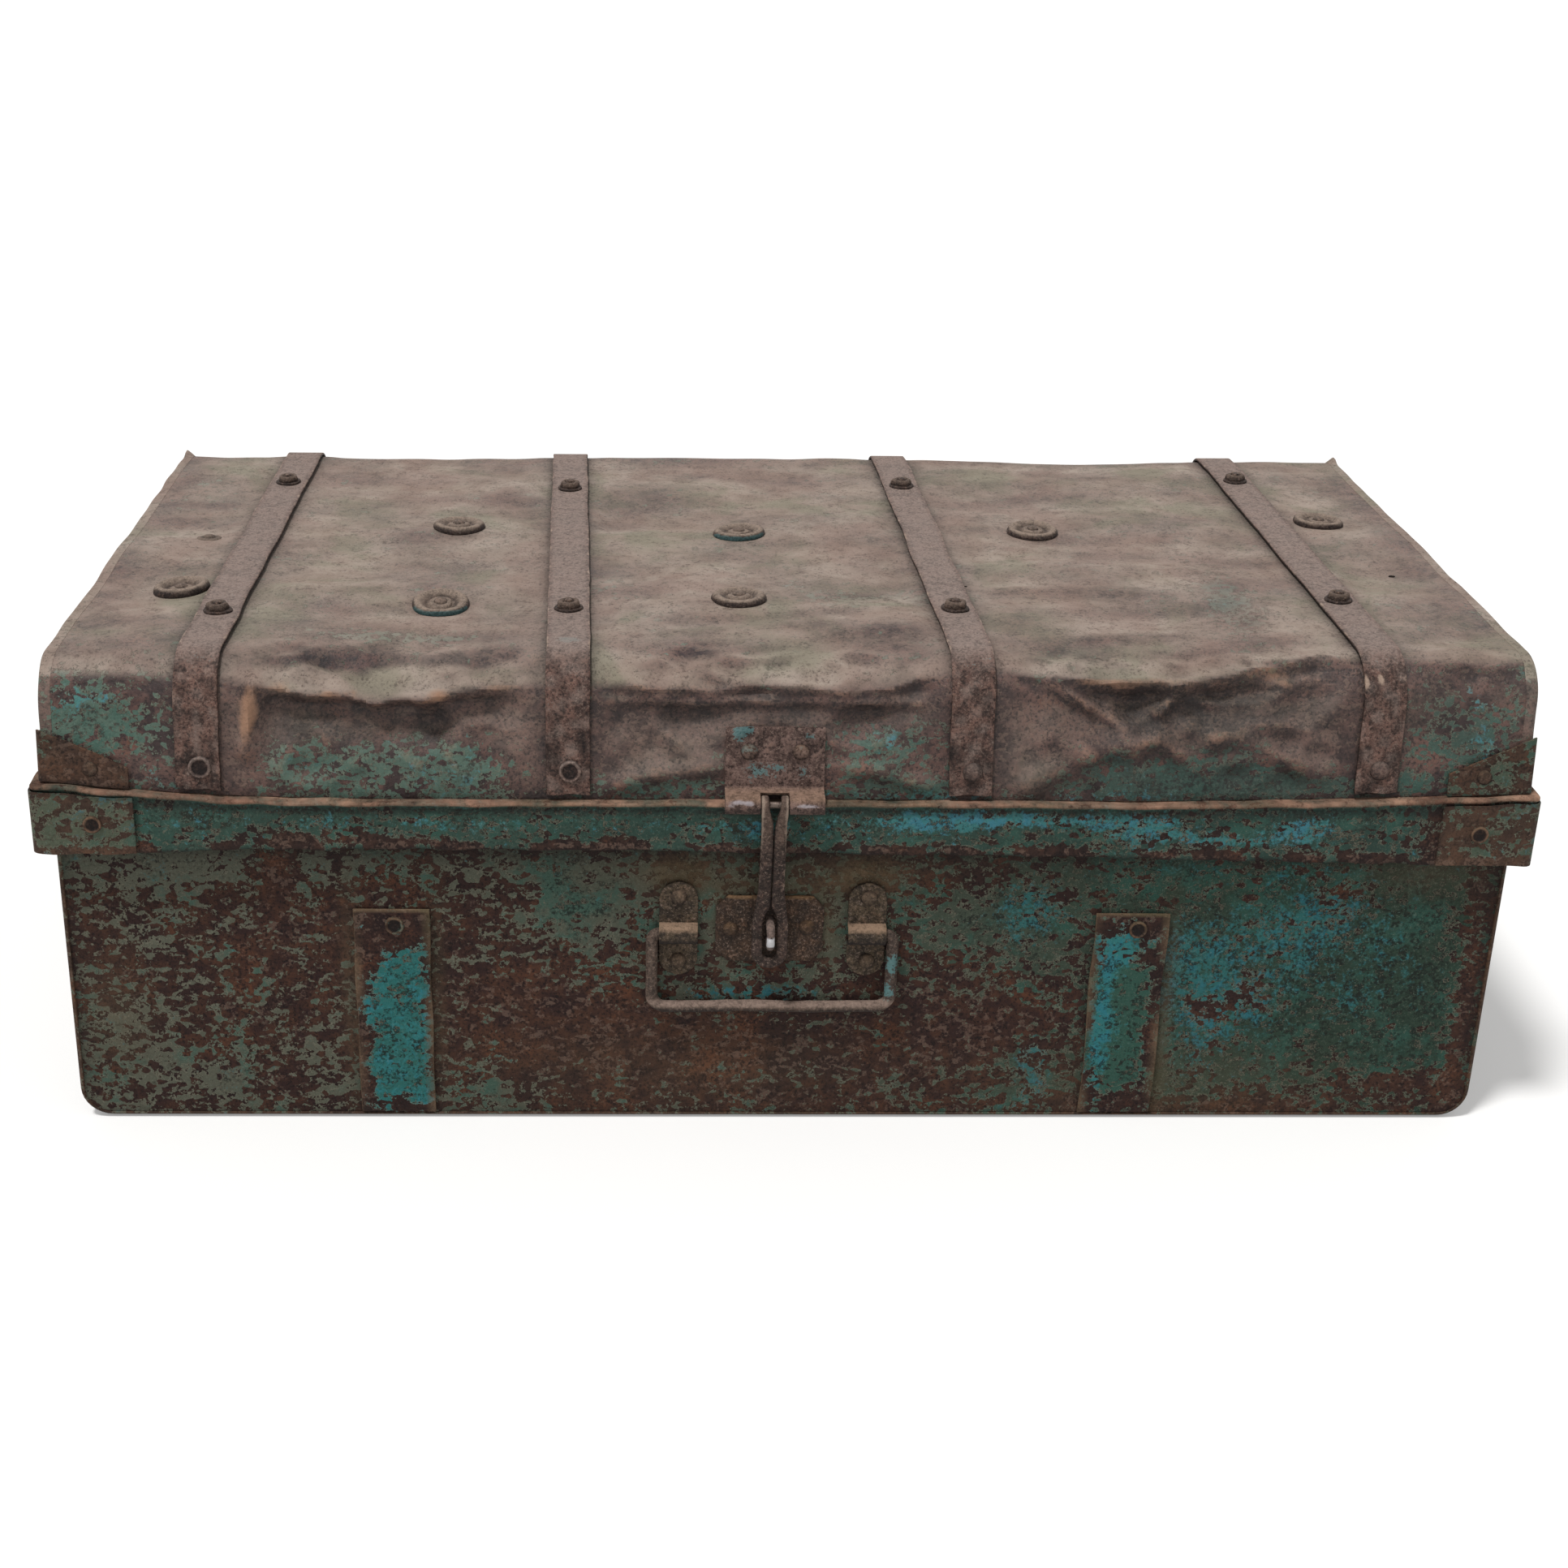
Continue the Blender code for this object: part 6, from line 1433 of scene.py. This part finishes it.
mid_x, y, z, wide, thick = arm_path()
turn = np.linspace(0, math.pi, 26)[1:-1]
ring_x, ring_z = -mid_x[-1] * np.cos(turn), SLOT_FOOT - mid_x[-1] * np.sin(turn)
path = np.stack([np.concatenate([-mid_x, ring_x, mid_x[::-1]]),
                 np.concatenate([y, np.full(24, y[-1]), y[::-1]]),
                 np.concatenate([z, ring_z, z[::-1]])], -1)
wide = np.concatenate([wide, np.full(24, wide[-1]), wide[::-1]])
thick = np.concatenate([thick, np.full(24, thick[-1]), thick[::-1]])
run = np.gradient(path, axis=0)
run[:, 0] *= (np.abs(path[:, 2] - 100) < 24.0)
run = unit(run)
facing = np.cross(run, (1.0, 0.0, 0.0))
facing = np.where((np.arange(len(path)) < len(path) / 2)[:, None], facing, -facing)
facing[np.abs(run[:, 0]) > 0.05] = (0.0, -1.0, 0.0)
across = np.cross(facing, run)
angle = np.arange(20) * 2 * math.pi / 20
flat_cos, flat_sin = (np.sign(wave) * np.abs(wave) ** power
                      for wave, power in ((np.cos(angle), 0.55), (np.sin(angle), 0.62)))
nick = 1 + 0.025 * ripple(path[:, 2], path[:, 0], 13.0, 190)
reach_across = flat_cos[None, :, None] * (wide * nick)[:, None, None] / 2
reach_out = flat_sin[None, :, None] * thick[:, None, None] / 2
loops = path[:, None, :] + across[:, None, :] * reach_across + facing[:, None, :] * reach_out
loops[..., 0] += HASP_X
x, z = loops[..., 0] - HASP_X, loops[..., 2]
seam = bell(x, 0, 1.1) * ramp(z, 128, 4)
upper = ramp(z, 160, 22.0)
faced = np.clip(flat_sin[None, :], 0, 1)
table = marks(x, grime=0.8 * seam + 0.25 * ramp(134, z, 20) * (1 - faced),
              dust=0.40 * upper * faced + 0.05,
              wear=0.22 * upper * faced + 0.36 * bell(np.abs(x), 6.2, 0.9) * ramp(z, 130, 10))
put("hasp_arm", [tube(loops, table)], arm_coat, "hasp", ["hasp"], sharp=60.0)

# The staple: a plate with its corners cut off, riveted on the tub, and a wire loop driven through
# it, rubbed at the nose where a lock has hung, with a painted highlight there.

staple_coat = old_iron("staple_iron", shade(44, 35, 30), shade(66, 49, 38), shade(136, 106, 78),
                       shade(98, 72, 46), 0.15)
STAPLE_Z, PLATE_BACK = 114.0, -TUB_DEEP - SEAT
STAPLE_WIRE, NOSE, NOSE_Y = 2.1, 5.3, -216.1


def slab(outline, thick, bevel, lift, table_of):
    """A flat plate standing on the tub's front: rings from its outline in to its middle, with a
    small bevel, and a lift of each place off the wall."""
    outline = np.asarray(outline, float)
    centre = outline.mean(axis=0)
    shares = np.array([1, 1, 1 - bevel / 16, 0.88, 0.72, 0.54, 0.36, 0.18, 0.02])
    depth = np.array([0, thick - bevel, thick, thick, thick, thick, thick, thick, thick])
    flat = centre + (outline - centre)[None, :, :] * shares[:, None, None]
    raised = depth[:, None] + lift(flat[..., 0], flat[..., 1])
    loops = np.stack([flat[..., 0], PLATE_BACK - raised, flat[..., 1]], -1)
    return tube(loops, table_of(flat[..., 0], flat[..., 1], depth[:, None] / thick))


def cut_corners(x0, z0, half_x, half_z, cut, steps=7):
    """An oblong with its corners cut off, with extra points along its edges."""
    corners = [(half_x, half_z - cut), (half_x - cut, half_z), (cut - half_x, half_z),
               (-half_x, half_z - cut), (-half_x, cut - half_z), (cut - half_x, -half_z),
               (half_x - cut, -half_z), (half_x, cut - half_z)]
    share = np.linspace(0, 1, steps, endpoint=False)[:, None]
    edges = [np.array(a) + (np.array(b) - np.array(a)) * share
             for a, b in zip(corners, corners[1:] + corners[:1])]
    return np.vstack(edges) + (x0, z0)


def staple_marks(x, z, high):
    """Ochre rust on the right, dark on the left, a tan line along the top edge."""
    upper_edge = ramp(z - STAPLE_Z, 17.6, 0.8)
    right = ramp(x - HASP_X, 4, 8)
    middle = np.clip(1 - np.abs(x - HASP_X) / 13, 0, 1)
    return marks(x, dust=0.85 * upper_edge + 0.04, wear=0.22 * right * (1 - upper_edge),
                 grime=0.55 * middle + 0.3 * (high < 0.9) * (upper_edge < 0.1))


outline = cut_corners(HASP_X, STAPLE_Z, 28.0, 18.8, 6.2)
outline += 0.25 * np.stack([ripple(outline[:, 1], outline[:, 0], 12.0, 200),
                            ripple(outline[:, 1], outline[:, 0], 14.0, 201)], -1)
sheet = slab(outline, 1.4, 0.4, lambda x, z: 0.25 * np.clip(ripple(x, z, 30.0, 202), 0, 2),
             staple_marks)
rivets = [head((HASP_X - 20.4, PLATE_BACK - 1.5, STAPLE_Z), (0, -1, 0), 4.2, 2.0, seed=203),
          head((HASP_X + 19.4, PLATE_BACK - 1.5, STAPLE_Z + 1.0), (0, -1, 0), 4.6, 0.8, seed=204)]
put("staple_base", [sheet, *rivets], staple_coat, "base", ["staple_plate"],
    sharp=50.0)

# The loop's near-white rub colour paints a highlight on its nose.
loop_coat = old_iron("staple_wire", shade(76, 60, 54), shade(108, 90, 82), shade(140, 120, 110),
                     shade(206, 204, 206), 0.1, 0.6)
nose = np.linspace(math.pi / 2, 1.5 * math.pi, 22)
leg_y = np.linspace(-202.0, -214.6, 9)
path_y = np.concatenate([leg_y, NOSE_Y + NOSE * np.cos(nose), leg_y[::-1]])
path_z = np.concatenate([0 * leg_y + STAPLE_Z + NOSE, STAPLE_Z + NOSE * np.sin(nose),
                         0 * leg_y + STAPLE_Z - NOSE])
path = np.stack([0 * path_y + HASP_X, path_y, path_z], 1)
reach = STAPLE_WIRE * (1 + 0.04 * ripple(path[:, 1], path[:, 2], 9.0, 205))
loops = round_loops(path, reach, 16)
x, y, z = (loops[..., axis] for axis in range(3))
# shine: a painted highlight on the loop's nose, over its rubbed metal.
shine = bell(z - STAPLE_Z, -0.5, 2.6) * ramp(-219.2, y, 1.4)
table = marks(x, wear=0.95 * shine + 0.05, dust=0.35 * ramp(z - STAPLE_Z, 3, 3),
              grime=0.7 * ramp(STAPLE_Z - 3, z, 3) + 0.4 * ramp(y, -211, 4))
put("staple_loop", [tube(loops, table)], loop_coat, "base", ["staple"])

# The drop handle: round wire bent square, its ends turned in through two brackets. Tan dust
# and a painted highlight lie on the top of the bar, with painted shade under it; flecks of teal
# are left on the right leg.

bail_coat = old_iron("handle_wire", shade(46, 38, 34), shade(78, 64, 55), shade(134, 115, 104),
                     shade(154, 134, 122), 0.9)
BAIL_X, BAIL_Y, BAIL_Z, WIRE = -10.565, -209.2, 112.0, 3.1
BAIL_HALF, BAIL_FALL, BAIL_TURN, EYE_TURN = 62.6, 42.3, 7.5, 3.9
quarter = np.linspace(0, math.pi / 2, 9)
left_top = np.stack([-BAIL_HALF + EYE_TURN * (1 - np.sin(quarter)),
                     -EYE_TURN + EYE_TURN * np.cos(quarter)], 1)
left_low = np.stack([-BAIL_HALF + BAIL_TURN * (1 - np.cos(quarter)),
                     BAIL_TURN * (1 - np.sin(quarter)) - BAIL_FALL], 1)
tail = np.stack([np.linspace(19.5 - BAIL_HALF, 4.6 - BAIL_HALF, 7), np.zeros(7)], 1)
leg = np.stack([np.full(16, -BAIL_HALF), np.linspace(-4.6, BAIL_TURN - BAIL_FALL + 1.2, 16)], 1)
bar = np.stack([np.linspace(BAIL_TURN + 1.5 - BAIL_HALF, 0, 30), np.full(30, -BAIL_FALL)], 1)
half = np.vstack([tail, left_top, leg, left_low, bar])
whole = np.vstack([half, half[::-1][1:] * (-1, 1)])
path = np.stack([whole[:, 0] + BAIL_X, np.full(len(whole), BAIL_Y), whole[:, 1] + BAIL_Z], 1)
path[:, 2] += 0.35 * ripple(path[:, 0], 0 * path[:, 0], 50.0, 210) * (path[:, 2] < 80)
reach = WIRE * (1 + 0.035 * ripple(path[:, 0] * 1.3, path[:, 2] * 1.3, 15.0, 211))
loops = round_loops(path, reach, 18, (0, 1, 0))
x, y, z = (loops[..., axis] for axis in range(3))
level = BAIL_Z - BAIL_FALL
on_bar = ramp(level + 6, z, 2)
top_side = ramp(z - level, -0.2, 1.6) * on_bar
fleck = clouds(x, z, (
    (52, 96, 5, 9, 1.1), (50, 80, 5, 6, 1.0), (-40, 66, 10, 3, 0.8), (-62, 68, 6, 3, 0.6),
    (30, 67, 14, 2, 0.4)))
# The bar's top and front are lighter, dust with a painted highlight; its underside and the side
# towards the tub take painted shade.
table = marks(x, dust=0.80 * top_side + 0.15, bright=fleck,
              wear=0.26 * top_side + 0.12 * ramp(-y, 211, 1),
              grime=0.9 * on_bar * ramp(level - 0.2, z, 1.5) + 0.25 * ramp(y, -208.2, 1.0))
put("handle_wire", [tube(loops, table)], bail_coat, "bail", ["handle_bail"])

# The handle's brackets: iron strips that lie on the tub above and below the wire's ends, riveted
# there, and arch out over them between. Tan dust and a painted highlight lie on the shelf that
# each arch makes, and the faces turned down take painted shade.

bracket_coat = old_iron("bracket_iron", shade(42, 36, 29), shade(80, 68, 53), shade(142, 118, 98),
                        shade(142, 118, 96), 0.12)
BRACKET_HALF, BRACKET_THICK, BRACKET_TOP, BRACKET_LOW = 10.0, 1.8, 140.7, 87.4


def bracket_path():
    """The back of the bracket's strip from its top end to its bottom end, with round corners
    where it leaves the wall and goes back to it: y and z."""
    eye, fillet = WIRE + 0.5, 2.3
    turn = np.linspace(0, math.pi / 2, 6)
    down = [(PLATE_BACK, z)
            for z in np.linspace(BRACKET_TOP, BAIL_Z + eye + fillet + 0.4, 16)]
    out_turn = [(PLATE_BACK - fillet * (1 - math.cos(a)), BAIL_Z + eye + fillet * (1 - math.sin(a)))
                for a in turn]
    arch = [(BAIL_Y - eye * math.sin(a), BAIL_Z + eye * math.cos(a))
            for a in np.linspace(0.0, math.pi, 15)]
    back = [(y, 2 * BAIL_Z - z) for y, z in out_turn[::-1]]
    low = [(PLATE_BACK, z)
           for z in np.linspace(BAIL_Z - eye - fillet - 0.4, BRACKET_LOW, 14)]
    return np.array(down + out_turn + arch + back + low)


side_path = bracket_path()
outward = side_outward(side_path)
into_end = np.clip(np.maximum(side_path[:, 1] - 130.8, 97.3 - side_path[:, 1]), 0, 9.97)
half_wide = np.sqrt(BRACKET_HALF ** 2 - into_end ** 2)
loop = strip_loop(2 * BRACKET_HALF, BRACKET_THICK, 0.55)
across = loop[None, :, 0] * (half_wide / BRACKET_HALF)[:, None]
y, z = (side_path[:, k, None] + outward[:, k, None] * loop[None, :, 1] for k in (0, 1))
shelf = ramp(outward[:, 1:], 0.45, 0.3)
below = ramp(-outward[:, 1:], 0.15, 0.4)
rim = ramp(np.abs(across) / half_wide[:, None], 0.88, 0.1)
# The shelf is lighter, dust with a painted highlight; the faces turned down and a band under the
# arch take painted shade.
table = marks(across, dust=0.95 * shelf + 0.04, wear=0.26 * rim + 0.22 * shelf,
              grime=0.9 * below + 0.30 * bell(z, 107, 4) + 0.25 * rim)
for number, (word, x0) in enumerate((("left", -59.5), ("right", 38.3))):
    loops = np.stack([x0 + across, y, z], -1)
    rivets = [head((x0 + 0.5 * number, PLATE_BACK - 1.7, height), (0, -1, 0), 4.4, 2.6,
                   seed=220 + number) for height in (132.3, 95.8)]
    put("bracket_%s" % word, [tube(loops, table), *rivets], bracket_coat, "base",
        ["handle_bracket_" + word], sharp=50.0)

# The two butt hinges at the back keep their first shapes: a leaf of brown iron on the tub and one
# on the lid, round a rubbed steel pin.

for node, solid in solids.items():
    if node.startswith(("hinge_lid_leaf", "hinge_base_leaf")):
        solid.material_slots[0].material = iron_coat
    elif node.startswith("hinge_pin"):
        solid.material_slots[0].material = steel_coat.owner
